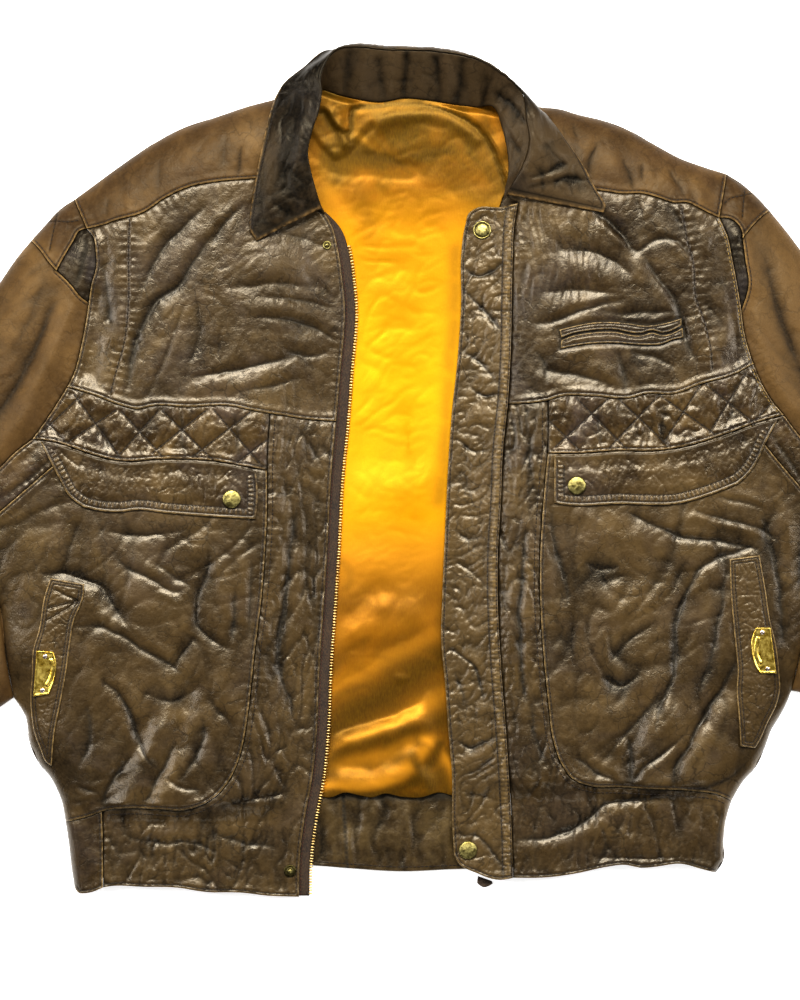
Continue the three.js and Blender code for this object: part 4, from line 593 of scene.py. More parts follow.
def wrinkles(name, P):
    h = np.zeros(len(P))
    for size, a, st, deg, seed in WR.get(name, WR["default"]):
        h += a * ((0.65 if "band" in name else 0.38) if size > 12 else 0.62) * crumple(P[:, 0], P[:, 1], size, seed, st, deg)
    if name == "front_upper_r":  # the many upright wrinkles beside the placket
        u, v = P[:, 0] / S + 400, 500 - P[:, 1] / S
        k = ease((626 - u) / 60) * ease((v - 196) / 20) * ease((322 - v) / 40)
        w = noise(P[:, 0] / 3.0 + 2.2 * noise(P[:, 0] / 30, P[:, 1] / 40, 51), P[:, 1] / 26, 52)
        h += 1.15 * k * w
    return h


def seams(name, P):
    """Height, worn rim, and painted shade in the seam, dart and quilting grooves, from the seams of a piece."""
    h, rim, groove = np.zeros(len(P)), np.zeros(len(P)), np.zeros(len(P))
    for i, (parts, kind) in enumerate(PIECES[name]):
        if kind == "none":
            continue
        L = chain(*[part_of(p) for p in parts], step=3.0)
        d, s, _ = near(P, L, 16)
        k = 13 * (i + 1) + len(name)
        puck = np.sin(2 * np.pi * s / 6.2 + 5 * noise(s / 16, s * 0 + k, 61)) * (0.7 + 0.9 * noise(s / 22, s * 0 + 2 * k, 62))
        if kind == "over":
            h += 0.85 * ease((8.5 - d) / 6) - 0.42 * np.exp(-((d - 2.3) / 0.75).clip(-9, 9)**2) + 0.24 * puck * np.exp(-np.minimum(d, 50) / 5)
            rim += 1.0 * np.exp(-(np.minimum(d, 9) / 0.75)**2)
            groove += 0.6 * np.exp(-((d - 2.3) / 0.5).clip(-9, 9)**2)
        elif kind == "under":
            h += -1.0 * np.exp(-np.minimum(d, 50) / 2.4) + 0.42 * puck * np.exp(-np.minimum(d, 50) / 6)
            groove += 1.0 * np.exp(-np.minimum(d, 50) / 1.0)
        elif kind == "free":
            h += 0.55 * ease((8 - d) / 5) - 0.42 * np.exp(-((d - 2.3) / 0.7).clip(-9, 9)**2) + 0.22 * puck * np.exp(-np.minimum(d, 50) / 6)
            rim += 0.6 * np.exp(-(np.minimum(d, 9) / 0.6)**2)
            groove += 0.55 * np.exp(-((d - 2.3) / 0.55).clip(-9, 9)**2)
        elif kind == "ridge":
            rib = np.abs(np.sin(np.pi * s / 3.4 + 2.5 * noise(s / 11, s * 0 + 3, 63)))
            band = np.exp(-((d - 4.2) / 3.2).clip(-9, 9)**2)
            h += band * (1.5 + 0.75 * (rib - 0.5)) - 0.5 * np.exp(-((d - 8.6) / 0.8).clip(-9, 9)**2)
            rim += 0.5 * band * rib**2
            groove += 0.9 * np.exp(-((d - 8.4) / 0.6).clip(-9, 9)**2) + 0.45 * band * (1 - rib) ** 2
    for l in darts.get(name, ()):
        d, s, _ = near(P, smooth(mm(l), 3), 14)
        puck = np.sin(2 * np.pi * s / 6.6 + 5 * noise(s / 16, s * 0, 64))
        h += -0.75 * np.exp(-(np.minimum(d, 9) / 1.1)**2) + 0.3 * puck * np.exp(-np.minimum(d, 50) / 6)
        groove += 0.5 * np.exp(-(np.minimum(d, 9) / 0.7)**2)
    if name in quilts:
        D = np.min([near(P, mm(l), 30)[0] for l in quilts[name]], 0)
        h += 0.75 * (1 - np.exp(-(np.minimum(D, 40) / 4.6)**2)) - 0.7 * np.exp(-(np.minimum(D, 9) / 0.9)**2)
        groove += 0.8 * np.exp(-(np.minimum(D, 9) / 0.7)**2)
    return h, rim, groove


# per-piece paleness, partly the leather's own tone and partly painted sheen standing for the highlights on pieces such
# as the placket and the left front band
TONES = {"placket_r": 0.68, "front_band_l": 0.36, "front_band_r": 0.20, "pocket_panel_l": 0.22, "pocket_panel_r": 0.26, "front_upper_l": 0.12, "sleeve_upper_r": 0.55, "sleeve_upper_l": 0.18}
SIL = [chain("sleeveOutL"), chain("sleeveLowL", "sideLowL", "bandEndL"), chain("shoulderL", "patchOutL"), chain("sleeveOutR"), chain("sleeveLowR", "sideLowR", "bandEndR"), chain("shoulderR", "patchOutR")]


def top(name, P):
    """Top of a piece, mm, with its masks."""
    b = base(P)
    (c, dark_line), w = creases(name, P), wrinkles(name, P)
    s, rim, groove = seams(name, P)
    fade = 0.15 + 0.85 * ease(nearest(P, SIL, 14) / 12)
    det = (c + w) * fade
    # crease centres join the painted shade in the grooves
    groove = np.maximum(groove, 0.72 * dark_line)
    for o in UNDER_OVERLAY.get(name, ()):
        m = inside(P, over_rings[o])
        det[m] = np.minimum(det[m], 0.0)
        s[m] = np.minimum(s[m], 0.3)
    if name == "front_upper_r":  # the slit and the sunk line round the chest welts; the slit is painted dark as shade
        d = np.min([near(P, np.vstack((over_rings[k], over_rings[k][:1])), 10)[0] for k in ("chest_welt_upper", "chest_welt_lower")], 0)
        groove = np.maximum(groove, 1.0 * np.exp(-(np.minimum(d, 9) / 1.5)**2))
        s = s - 0.9 * np.exp(-(np.minimum(d, 9) / 2.6)**2)
    z = np.maximum(b + det + s * (0.4 + 0.6 * fade), 1.6)
    if name == "placket_r":
        z += 1.4
    return z, {"relief": det, "rim": rim, "groove": groove, "tone": np.full(len(P), TONES.get(name, 0.0))}


# ---------------------------------------------------------------- meshes
made = []


def mesh(name, V, F, mat, attrs=None, smooth_faces=True):
    """V in mm in pattern space, F triangles or quads."""
    V = np.asarray(V, float)
    name = name + "_v" if name in frame["nodes"] else name
    m = bpy.data.meshes.new(name)
    co = np.column_stack((V[:, 0] + SHIFT[0], V[:, 1] + SHIFT[1], V[:, 2])) / 1000
    groups = F if isinstance(F, list) else [np.asarray(F)]
    groups = [np.asarray(g) for g in groups if len(g)]
    m.vertices.add(len(co))
    m.vertices.foreach_set("co", co.astype(np.float32).ravel())
    n = sum(g.size for g in groups)
    m.loops.add(n)
    m.loops.foreach_set("vertex_index", np.concatenate([g.ravel() for g in groups]).astype(np.int32))
    sizes = np.concatenate([np.full(len(g), g.shape[1]) for g in groups])
    m.polygons.add(len(sizes))
    m.polygons.foreach_set("loop_start", np.r_[0, np.cumsum(sizes)[:-1]].astype(np.int32))
    m.polygons.foreach_set("use_smooth", np.full(len(sizes), smooth_faces))
    for k, v in (attrs or {}).items():
        a = m.attributes.new(k, "FLOAT", "POINT")
        a.data.foreach_set("value", np.asarray(v, np.float32))
    m.update(calc_edges=True)
    m.validate()
    o = bpy.data.objects.new(name, m)
    bpy.context.scene.collection.objects.link(o)
    if mat is not None:
        m.materials.append(mat)
    made.append(o)
    return o


def grid_points(R, cell):
    lo, hi = R.min(0), R.max(0)
    dy = cell * 0.866
    j0, j1 = int(lo[1] / dy) - 1, int(hi[1] / dy) + 2
    i0, i1 = int(lo[0] / cell) - 1, int(hi[0] / cell) + 2
    i, j = np.meshgrid(np.arange(i0, i1), np.arange(j0, j1))
    x = (i + 0.5 * (j & 1)) * cell
    P = np.column_stack((x.ravel(), (j * dy).ravel()))
    return P[inside(P, R)]


def fill(R, pts, extra=None):
    """Triangulates the inside of outline R through the given points; the outline's own vertices come first."""
    V = [Vector(p) for p in np.vstack((R, pts))]
    n = len(R)
    out = geo.delaunay_2d_cdt(V, [(i, (i + 1) % n) for i in range(n)], [], 1, 1e-4, False)
    P = np.array([(v[0], v[1]) for v in out[0]])
    F = np.array(out[2], int)
    a, b, c = P[F[:, 0]], P[F[:, 1]], P[F[:, 2]]
    ar = (b[:, 0] - a[:, 0]) * (c[:, 1] - a[:, 1]) - (b[:, 1] - a[:, 1]) * (c[:, 0] - a[:, 0])
    F[ar < 0] = F[ar < 0][:, ::-1]
    F = F[np.abs(ar) > 1e-7]
    return P, F[inside(P[F].mean(1), R)]


def border(F):
    """Directed edges used by one face only."""
    e = np.vstack((F[:, [0, 1]], F[:, [1, 2]], F[:, [2, 0]]))
    key = e.min(1).astype(np.int64) * 10**7 + e.max(1)
    _, idx, cnt = np.unique(key, return_index=True, return_counts=True)
    return e[idx[cnt == 1]]


def inward(R, d):
    """Points of the outline moved in by d, without those that come too near another part of it."""
    Q = R + normals(R) * d
    q = near(Q, np.vstack((R, R[:1])), None)[0]
    return Q[(q > 0.93 * d) & inside(Q, R)]


def shell(name, R, topf, thick, cell, mat, rims=(0.15, 0.5, 1.0, 1.7, 2.35, 3.0, 4.1), rim_r=0.8, extra=(), low_cell=5.0, far_cell=None, low=None):
    """A closed thin shell: outline R (mm), top surface function, thickness, and a coarser lower face."""
    if area(R) < 0:
        R = R[::-1]
    R = R + normals(R) * 0.08
    LR = np.vstack((R, R[:1]))
    pts = [inward(R, d) for d in rims]
    G = grid_points(R, cell)
    if far_cell:
        u = G[:, 0] / S + 400
        G = G[(u > -14) & (u < 814)]
        H2 = grid_points(R, far_cell)
        u = H2[:, 0] / S + 400
        G = np.vstack((G, H2[(u <= -14) | (u >= 814)]))
    G = G[near(G, LR, rims[-1] + cell + 1)[0] > rims[-1] + 0.45 * cell]
    for L in extra:
        n = normals_open(L)
        rows = np.vstack([L + n * k for k in (-2.0, -1.0, -0.4, 0.0, 0.4, 1.0, 2.0)])
        G = G[near(G, L, 5)[0] > 2.0 + 0.5 * cell]
        rows = rows[inside(rows, R)]
        rows = rows[near(rows, LR, rims[-1] + 2)[0] > rims[-1] + 0.3]
        pts.append(rows)
    P, F = fill(R, np.vstack(pts + [G]))
    z, att = topf(P)
    d = near(P, LR, 4)[0]
    z = z - rim_r * (1 - rnd(d / rim_r * 0.85 + 0.02)) * (d < 2)
    B, K = fill(R, grid_points(R, low_cell))
    if low is None:
        # the lower face stays below the deepest hollow near each of its points
        c5 = 5.0
        o5 = P.min(0) - 3 * c5
        size5 = ((P.max(0) - o5) / c5).astype(int) + 6
        bins = np.full(size5, 1e3)
        ij = ((P - o5) / c5).astype(int)
        np.minimum.at(bins, (ij[:, 0], ij[:, 1]), z)
        ij = np.clip(((B - o5) / c5).astype(int), 2, size5 - 3)
        zb = np.min([bins[ij[:, 0] + a, ij[:, 1] + b] for a in (-1, 0, 1) for b in (-1, 0, 1)], 0)
        zb = np.where(zb > 900, topf(B)[0] - 2, zb) - 0.75 * thick
        zb = np.maximum(zb, np.minimum(0.15, z.min() - 0.5))
    else:
        zb = low(B)
    edges = border(F)
    # the two faces share the outline's places; lower vertices on it are found by position
    key = {(round(x, 3), round(y, 3)): i for i, (x, y) in enumerate(B)}
    N = len(P)
    ring_idx = {}
    for v in np.unique(edges):
        k = key.get((round(P[v, 0], 3), round(P[v, 1], 3)))
        if k is None:
            k = int(np.argmin(np.hypot(*(B - P[v]).T)))
        ring_idx[v] = N + k
    zb_ring = {ring_idx[v]: min(z[v] - 0.35 * thick, zb[ring_idx[v] - N]) for v in ring_idx}
    for k, v in zb_ring.items():
        zb[k - N] = v
    W = np.array([(b, a, ring_idx[a], ring_idx[b]) for a, b in edges])
    V = np.vstack((np.column_stack((P, z)), np.column_stack((B, zb))))
    at = {k: np.r_[v, np.zeros(len(B))] for k, v in att.items()}
    at["inner"] = np.r_[np.zeros(N), np.ones(len(B))]
    return mesh(name, V, [np.vstack((F, K[:, ::-1] + N)), W], mat, at)


# ---------------------------------------------------------------- materials
def new_mat(name):
    m = bpy.data.materials.new(name)
    m.use_nodes = True
    return m, m.node_tree.nodes, m.node_tree.links, m.node_tree.nodes["Principled BSDF"]


def node(nodes, kind, **kw):
    n = nodes.new(kind)
    for k, v in kw.items():
        if k.startswith("i_"):
            n.inputs[k[2:].replace("_", " ")].default_value = v
        else:
            setattr(n, k, v)
    return n


def srgb(r, g, b):
    f = lambda c: (c / 255 / 12.92) if c / 255 <= 0.04045 else ((c / 255 + 0.055) / 1.055)**2.4
    return (f(r), f(g), f(b), 1.0)


def ramp(nodes, links, fac, stops):
    n = nodes.new("ShaderNodeValToRGB")
    e = n.color_ramp.elements
    while len(e) < len(stops):
        e.new(0.5)
    for x, (p, c) in zip(e, stops):
        x.position, x.color = p, c
    links.new(fac, n.inputs[0])
    return n.outputs[0]


def math_node(nodes, links, op, a, b=None, clamp=False):
    n = nodes.new("ShaderNodeMath")
    n.operation, n.use_clamp = op, clamp
    for i, x in enumerate((a, b)):
        if x is None:
            continue
        if isinstance(x, (int, float)):
            n.inputs[i].default_value = x
        else:
            links.new(x, n.inputs[i])
    return n.outputs[0]


def mix(nodes, links, fac, a, b, how="MIX"):
    n = nodes.new("ShaderNodeMix")
    n.data_type, n.blend_type = "RGBA", how
    for i, x in ((0, fac), (6, a), (7, b)):
        if isinstance(x, (int, float, tuple)):
            n.inputs[i].default_value = x
        else:
            links.new(x, n.inputs[i])
    return n.outputs[2]


def tex(nodes, links, scale, detail=3.0, rough=0.55, kind="ShaderNodeTexNoise", squeeze=None, warp=0.0):
    c = nodes.new("ShaderNodeTexCoord").outputs["Object"]
    if squeeze:
        mp = nodes.new("ShaderNodeMapping")
        mp.inputs["Scale"].default_value = squeeze
        links.new(c, mp.inputs[0])
        c = mp.outputs[0]
    n = nodes.new(kind)
    n.inputs["Scale"].default_value = scale
    if kind == "ShaderNodeTexNoise":
        n.inputs["Detail"].default_value = detail
        n.inputs["Roughness"].default_value = rough
        n.inputs["Distortion"].default_value = warp
    links.new(c, n.inputs["Vector"])
    return n


def leather(name, dark, mid, pale, worn, rough=0.34, coat=0.25, grain=0.24, speck=0.3, grey=None, greyness=0.0, lines=1.0, warm=(1.0, 0.88, 0.66, 1.0), deep=0.10, spec=0.5):
    m, N, L, bsdf = new_mat(name)
    attr = lambda a: node(N, "ShaderNodeAttribute", attribute_name=a).outputs["Fac"]
    big = tex(N, L, 14, 4, 0.6, warp=0.6).outputs["Fac"]
    midn = tex(N, L, 70, 4, 0.62, warp=0.4).outputs["Fac"]
    fine = tex(N, L, 480, 3, 0.6).outputs["Fac"]
    col = ramp(N, L, big, [(0.34, dark), (0.50, mid), (0.70, pale)])
    col2 = ramp(N, L, midn, [(0.34, dark), (0.53, mid), (0.72, pale)])
    col = mix(N, L, 0.30, col, col2)
    if grey:
        g = ramp(N, L, tex(N, L, 22, 3, 0.55, warp=0.8).outputs["Fac"], [(0.50, (0, 0, 0, 1)), (0.66, (1, 1, 1, 1))])
        col = mix(N, L, math_node(N, L, "MULTIPLY", g, greyness), col, grey)
    # raised places are rubbed paler; hollows are painted darker as shade
    rel = attr("relief")
    # paler by piece: leather tone, and painted sheen on pieces that catch more light
    col = mix(N, L, attr("tone"), col, pale)
    up = math_node(N, L, "MULTIPLY", math_node(N, L, "MAXIMUM", rel, 0.0), 0.18, True)
    dn = math_node(N, L, "MULTIPLY", math_node(N, L, "MAXIMUM", math_node(N, L, "MULTIPLY", rel, -1.0), 0.0), 0.60, True)
    col = mix(N, L, up, col, pale)
    deepest = tuple([c * 0.45 for c in dark[:3]] + [1.0])
    col = mix(N, L, dn, col, deepest)
    sp = ramp(N, L, fine, [(0.42, (0, 0, 0, 1)), (0.62, (1, 1, 1, 1))])
    col = mix(N, L, math_node(N, L, "MULTIPLY", sp, 0.34 * speck), col, pale)
    pore = tex(N, L, 900, kind="ShaderNodeTexVoronoi").outputs["Distance"]
    pm = ramp(N, L, pore, [(0.15, (1, 1, 1, 1)), (0.45, (0, 0, 0, 1))])
    col = mix(N, L, math_node(N, L, "MULTIPLY", pm, 0.26 * speck), col, dark)
    # fine crease lines in a broken net, painted darker as shade as well as sunk by the bump
    c = node(N, "ShaderNodeTexCoord").outputs["Object"]
    wn = node(N, "ShaderNodeTexNoise", i_Scale=70.0, i_Detail=3.0)
    L.new(c, wn.inputs["Vector"])
    vm = node(N, "ShaderNodeVectorMath", operation="MULTIPLY_ADD")
    L.new(wn.outputs["Color"], vm.inputs[0])
    vm.inputs[1].default_value = (0.016, 0.016, 0.016)
    L.new(c, vm.inputs[2])
    net = None
    for sc, wd, amt in ((62, 0.055, 1.0), (150, 0.10, 0.7)):
        vo = node(N, "ShaderNodeTexVoronoi", feature="DISTANCE_TO_EDGE", i_Scale=float(sc))
        L.new(vm.outputs[0], vo.inputs["Vector"])
        ln = ramp(N, L, vo.outputs["Distance"], [(0.0, (1, 1, 1, 1)), (wd, (0, 0, 0, 1))])
        mk = ramp(N, L, tex(N, L, sc * 0.42, 3, 0.6, warp=0.7).outputs["Fac"], [(0.48, (0, 0, 0, 1)), (0.60, (1, 1, 1, 1))])
        x = math_node(N, L, "MULTIPLY", math_node(N, L, "MULTIPLY", ln, mk), amt)
        net = x if net is None else math_node(N, L, "MAXIMUM", net, x)
    col = mix(N, L, math_node(N, L, "MULTIPLY", net, 0.55 * lines), col, deepest)
    edge_n = ramp(N, L, tex(N, L, 260, 2).outputs["Fac"], [(0.36, (0.10, 0.10, 0.10, 1)), (0.64, (0.82, 0.82, 0.82, 1))])
    col = mix(N, L, math_node(N, L, "MULTIPLY", attr("rim"), edge_n, True), col, worn)
    # seam grooves, sunk stitch lines, quilting lines and crease centres are painted dark as shade
    col = mix(N, L, math_node(N, L, "MULTIPLY", attr("groove"), 0.9, True), col, tuple([c_ * deep for c_ in dark[:3]] + [1.0]))
    L.new(col, bsdf.inputs["Base Color"])
    r = math_node(N, L, "MULTIPLY_ADD", midn, 0.34)
    r.node.inputs[2].default_value = rough - 0.17
    r2 = math_node(N, L, "MULTIPLY_ADD", fine, 0.16)
    L.new(r, r2.node.inputs[2])
    r3 = math_node(N, L, "ADD", r2, math_node(N, L, "MULTIPLY", attr("groove"), 0.4))
    L.new(math_node(N, L, "SUBTRACT", r3, 0.08, True), bsdf.inputs["Roughness"])
    bsdf.inputs["Coat Weight"].default_value = coat
    bsdf.inputs["Coat Roughness"].default_value = 0.27
    bsdf.inputs["IOR"].default_value = 1.5
    bsdf.inputs["Specular IOR Level"].default_value = spec
    bsdf.inputs["Specular Tint"].default_value = warm
    # grain: pebbles about a millimetre across, with finer and broader unevenness
    v = tex(N, L, 560, kind="ShaderNodeTexVoronoi")
    v2 = tex(N, L, 250, 4, 0.65, warp=0.5).outputs["Fac"]
    v3 = tex(N, L, 105, 3, 0.6, warp=1.2).outputs["Fac"]
    h = math_node(N, L, "MULTIPLY", v.outputs["Distance"], 0.38)
    h = math_node(N, L, "ADD", h, math_node(N, L, "MULTIPLY", v2, 0.85))
    h = math_node(N, L, "ADD", h, math_node(N, L, "MULTIPLY", v3, 0.7))
    h = math_node(N, L, "SUBTRACT", h, math_node(N, L, "MULTIPLY", net, 0.45 * lines))
    b = node(N, "ShaderNodeBump")
    b.inputs["Strength"].default_value = grain
    b.inputs["Distance"].default_value = 0.0009
    L.new(h, b.inputs["Height"])
    L.new(b.outputs[0], bsdf.inputs["Normal"])
    return m


MAIN = leather("leather_main", srgb(24, 16, 8), srgb(55, 41, 21), srgb(101, 82, 50), srgb(182, 154, 102), 0.33, 0.22, grey=srgb(66, 58, 56), greyness=0.40)
MATT = leather("leather_matte", srgb(50, 34, 16), srgb(77, 56, 28), srgb(113, 88, 52), srgb(176, 146, 92), 0.50, 0.0, grey=srgb(72, 54, 38), greyness=0.3, lines=0.6, spec=0.28)
SLATE = leather("leather_slate", srgb(15, 10, 6), srgb(32, 24, 14), srgb(70, 57, 38), srgb(182, 154, 102), 0.38, 0.0, spec=0.36, grey=srgb(60, 56, 58), greyness=0.5)
COLLAR = leather("leather_collar", srgb(7, 4, 2), srgb(14, 10, 6), srgb(78, 63, 42), srgb(156, 126, 80), 0.40, 0.0, grey=srgb(40, 37, 37), greyness=0.5, lines=0.7, grain=0.16, spec=0.26)
QUILT = leather("leather_quilted", srgb(27, 18, 8), srgb(60, 44, 21), srgb(112, 90, 52), srgb(176, 148, 100), 0.31, 0.26, grey=srgb(80, 71, 72), greyness=0.5)
INNER = leather("leather_inner_band", srgb(24, 17, 8), srgb(60, 46, 24), srgb(108, 90, 56), srgb(110, 90, 60), 0.34, 0.2, lines=0.6)


def satin():
    m, N, L, bsdf = new_mat("lining_satin")
    attr = lambda a: node(N, "ShaderNodeAttribute", attribute_name=a).outputs["Fac"]
    # the satin's gold with painted light and shade down the back: dark amber at the neck as painted shade under the
    # collar, bright gold as painted light over the back, darker bronze towards the waistband as painted shade
    col = ramp(N, L, attr("down"), [(0.0, srgb(54, 32, 2)), (0.09, srgb(62, 37, 2)), (0.135, srgb(108, 69, 1)), (0.20, srgb(186, 129, 0)), (0.40, srgb(212, 158, 0)), (0.60, srgb(210, 149, 0)), (0.655, srgb(196, 134, 26)), (0.72, srgb(124, 78, 17)), (1.0, srgb(70, 41, 5))])
    n = tex(N, L, 16, 4, 0.6, warp=0.8).outputs["Fac"]
    # a darker mottle, heaviest at the neck and the waist: painted shade
    col = mix(N, L, math_node(N, L, "MULTIPLY", ramp(N, L, n, [(0.36, (1, 1, 1, 1)), (0.60, (0, 0, 0, 1))]), attr("veil"), True), col, srgb(150, 92, 8))
    # painted highlight where the satin turns to the light, painted shade where it turns away
    col = mix(N, L, attr("glow"), col, srgb(206, 142, 34))
    col = mix(N, L, attr("shade"), col, srgb(52, 25, 1))
    # painted shadow under the tucked lip at the neck and at the lining's lower edge
    col = mix(N, L, math_node(N, L, "MULTIPLY", attr("tuck"), 1.0, True), col, srgb(58, 32, 4))
    f = tex(N, L, 900, 2, 0.6, squeeze=(1, 0.25, 1)).outputs["Fac"]
    col = mix(N, L, math_node(N, L, "MULTIPLY", f, 0.10), col, srgb(255, 206, 40))
    L.new(col, bsdf.inputs["Base Color"])
    bsdf.inputs["Roughness"].default_value = 0.44
    bsdf.inputs["Metallic"].default_value = 0.35
    bsdf.inputs["Specular Tint"].default_value = (1.0, 0.80, 0.35, 1.0)
    bsdf.inputs["Anisotropic"].default_value = 0.4
    w = tex(N, L, 1500, 1, 0.5, squeeze=(1, 0.3, 1)).outputs["Fac"]
    w2 = tex(N, L, 150, 3, 0.6, warp=0.6).outputs["Fac"]
    h = math_node(N, L, "ADD", math_node(N, L, "MULTIPLY", w, 0.25), math_node(N, L, "MULTIPLY", w2, 0.5))
    b = node(N, "ShaderNodeBump")
    b.inputs["Strength"].default_value = 0.25
    b.inputs["Distance"].default_value = 0.0005
    L.new(h, b.inputs["Height"])
    L.new(b.outputs[0], bsdf.inputs["Normal"])
    return m


def metal(name, lo, hi, dirt, rough, scale=300, dirtiness=0.6):
    m, N, L, bsdf = new_mat(name)
    n = tex(N, L, scale, 4, 0.6).outputs["Fac"]
    col = ramp(N, L, n, [(0.35, lo), (0.62, hi)])
    cav = node(N, "ShaderNodeAttribute", attribute_name="cavity").outputs["Fac"]
    d = math_node(N, L, "MULTIPLY_ADD", cav, 1.0)
    L.new(math_node(N, L, "MULTIPLY", ramp(N, L, tex(N, L, scale * 2.2, 3).outputs["Fac"], [(0.5, (0, 0, 0, 1)), (0.72, (1, 1, 1, 1))]), 0.5 * dirtiness), d.node.inputs[2])
    col = mix(N, L, math_node(N, L, "MULTIPLY", d, dirtiness, True), col, dirt)
    L.new(col, bsdf.inputs["Base Color"])
    bsdf.inputs["Metallic"].default_value = 1.0
    L.new(math_node(N, L, "MULTIPLY_ADD", n, 0.3), bsdf.inputs["Roughness"])
    bsdf.inputs["Roughness"].links[0].from_node.inputs[2].default_value = rough - 0.15
    b = node(N, "ShaderNodeBump")
    b.inputs["Strength"].default_value = 0.25
    b.inputs["Distance"].default_value = 0.0002
    L.new(tex(N, L, scale * 3, 2).outputs["Fac"], b.inputs["Height"])
    L.new(b.outputs[0], bsdf.inputs["Normal"])
    return m


BRASS = metal("brass_bright", srgb(214, 176, 60), srgb(255, 230, 130), srgb(150, 112, 36), 0.32, dirtiness=0.22)
NICKEL = metal("nickel", srgb(176, 160, 150), srgb(240, 226, 216), srgb(110, 88, 70), 0.30, dirtiness=0.2)
OLD = metal("brass_antique", srgb(104, 94, 52), srgb(176, 166, 108), srgb(40, 34, 16), 0.42, dirtiness=0.8)
TEETH = metal("brass_teeth", srgb(210, 178, 108), srgb(250, 226, 166), srgb(90, 66, 34), 0.42, dirtiness=0.4)


def yarn(name, c1, c2):
    m, N, L, bsdf = new_mat(name)
    n = tex(N, L, 900, 2).outputs["Fac"]
    L.new(ramp(N, L, n, [(0.35, c1), (0.65, c2)]), bsdf.inputs["Base Color"])
    bsdf.inputs["Roughness"].default_value = 0.7
    b = node(N, "ShaderNodeBump")
    b.inputs["Strength"].default_value = 0.5
    b.inputs["Distance"].default_value = 0.0002
    L.new(tex(N, L, 2500, 1, squeeze=(1, 2, 1)).outputs["Fac"], b.inputs["Height"])
    L.new(b.outputs[0], bsdf.inputs["Normal"])
    return m


DARK_YARN = yarn("thread_dark", srgb(24, 17, 12), srgb(48, 36, 25))
PALE_YARN = yarn("thread_ochre", srgb(120, 98, 48), srgb(170, 142, 76))
RED_YARN = yarn("thread_russet", srgb(58, 24, 16), srgb(88, 40, 24))


def tape_mat():
    m, N, L, bsdf = new_mat("zip_tape")
    n = tex(N, L, 60, 4).outputs["Fac"]
    f = tex(N, L, 1400, 1, squeeze=(1, 0.5, 1)).outputs["Fac"]
    col = mix(N, L, 0.5, ramp(N, L, n, [(0.35, srgb(34, 23, 13)), (0.65, srgb(62, 44, 26))]), ramp(N, L, f, [(0.4, srgb(32, 22, 13)), (0.62, srgb(82, 62, 38))]))
    L.new(col, bsdf.inputs["Base Color"])
    bsdf.inputs["Roughness"].default_value = 0.75
    b = node(N, "ShaderNodeBump")
    b.inputs["Strength"].default_value = 0.6
    b.inputs["Distance"].default_value = 0.0003
    L.new(f, b.inputs["Height"])
    L.new(b.outputs[0], bsdf.inputs["Normal"])
    return m


SATIN, TAPE = satin(), tape_mat()

# ---------------------------------------------------------------- stitches: little capsules along a row
def capsule(n=6, rings=((-0.82, 0.92), (0.82, 0.92))):
    V, F = [], []
    for x, r in rings:
        for k in range(n):
            a = 2 * math.pi * k / n
            V.append((x, r * math.cos(a), r * math.sin(a)))
    for i in range(len(rings) - 1):
        for k in range(n):
            F.append((i * n + k, i * n + (k + 1) % n, (i + 1) * n + (k + 1) % n, (i + 1) * n + k))
    V += [(-1.12, 0, 0), (1.12, 0, 0)]
    a, b = len(V) - 2, len(V) - 1
    T = [(a, (k + 1) % n, k) for k in range(n)] + [(b, (len(rings) - 1) * n + k, (len(rings) - 1) * n + (k + 1) % n) for k in range(n)]
    return np.array(V, float), np.array(F), np.array(T)


CAPS = capsule()
rows = {"dark": [], "pale": [], "red": []}


def stitch_row(L, zf, kind="dark", pitch=3.3, length=2.35, r=0.36, lift=0.12):
    """Stitches along polyline L (mm); zf gives the surface height."""
    if len(L) < 2:
        return
    s = np.r_[0, np.cumsum(np.hypot(*np.diff(L, axis=0).T))]
    n = int(s[-1] / pitch)
    if n < 1:
        return
    q = (np.arange(n) + 0.5) * s[-1] / n
    at = lambda t: np.column_stack((np.interp(t, s, L[:, 0]), np.interp(t, s, L[:, 1])))
    a, b = at(q - length / 2), at(q + length / 2)
    za, zb, zc = zf(a), zf(b), zf(at(q))
    c = np.column_stack(((a + b) / 2, np.maximum(zc, (za + zb) / 2) + lift))
    d = np.column_stack((b - a, zb - za)) / 2
    rows[kind].append((c, d, np.full(n, r)))


def sew(name, kind, mat):
    if not rows[kind]:
        return None
    c = np.vstack([x[0] for x in rows[kind]])
    d = np.vstack([x[1] for x in rows[kind]])
    r = np.concatenate([x[2] for x in rows[kind]])
    T, F, G = CAPS
    side = np.column_stack((-d[:, 1], d[:, 0], np.zeros(len(d))))
    side /= np.maximum(np.linalg.norm(side, axis=1), 1e-9)[:, None]
    up = np.cross(d, side)
    up /= np.maximum(np.linalg.norm(up, axis=1), 1e-9)[:, None]
    V = c[:, None] + T[None, :, :1] * d[:, None] + T[None, :, 1:2] * (side * r[:, None])[:, None] + T[None, :, 2:] * (up * r[:, None])[:, None]
    k = np.arange(len(c))[:, None, None] * len(T)
    return mesh(name, V.reshape(-1, 3), [(F[None] + k).reshape(-1, 4), (G[None] + k).reshape(-1, 3)], mat)


def row_inside(L, R, d, zf, kind="dark", **kw):
    """A row of stitches d mm inside outline R, following line L of that outline."""
    t = np.gradient(L, axis=0)
    t /= np.maximum(np.hypot(*t.T), 1e-9)[:, None]
    n = np.column_stack((-t[:, 1], t[:, 0]))
    mid = len(L) // 2
    if not inside((L[mid] + n[mid] * 1.0)[None], R)[0]:
        n = -n
    Q = L + n * d
    ok = inside(Q, R) & (near(Q, np.vstack((R, R[:1])))[0] > 0.85 * d)
    run = []
    for q, k in zip(Q, ok):
        if k:
            run.append(q)
        elif run:
            stitch_row(np.array(run), zf, kind, **kw)
            run = []
    if run:
        stitch_row(np.array(run), zf, kind, **kw)

# ---------------------------------------------------------------- the fronts and sleeves
sheets = {}


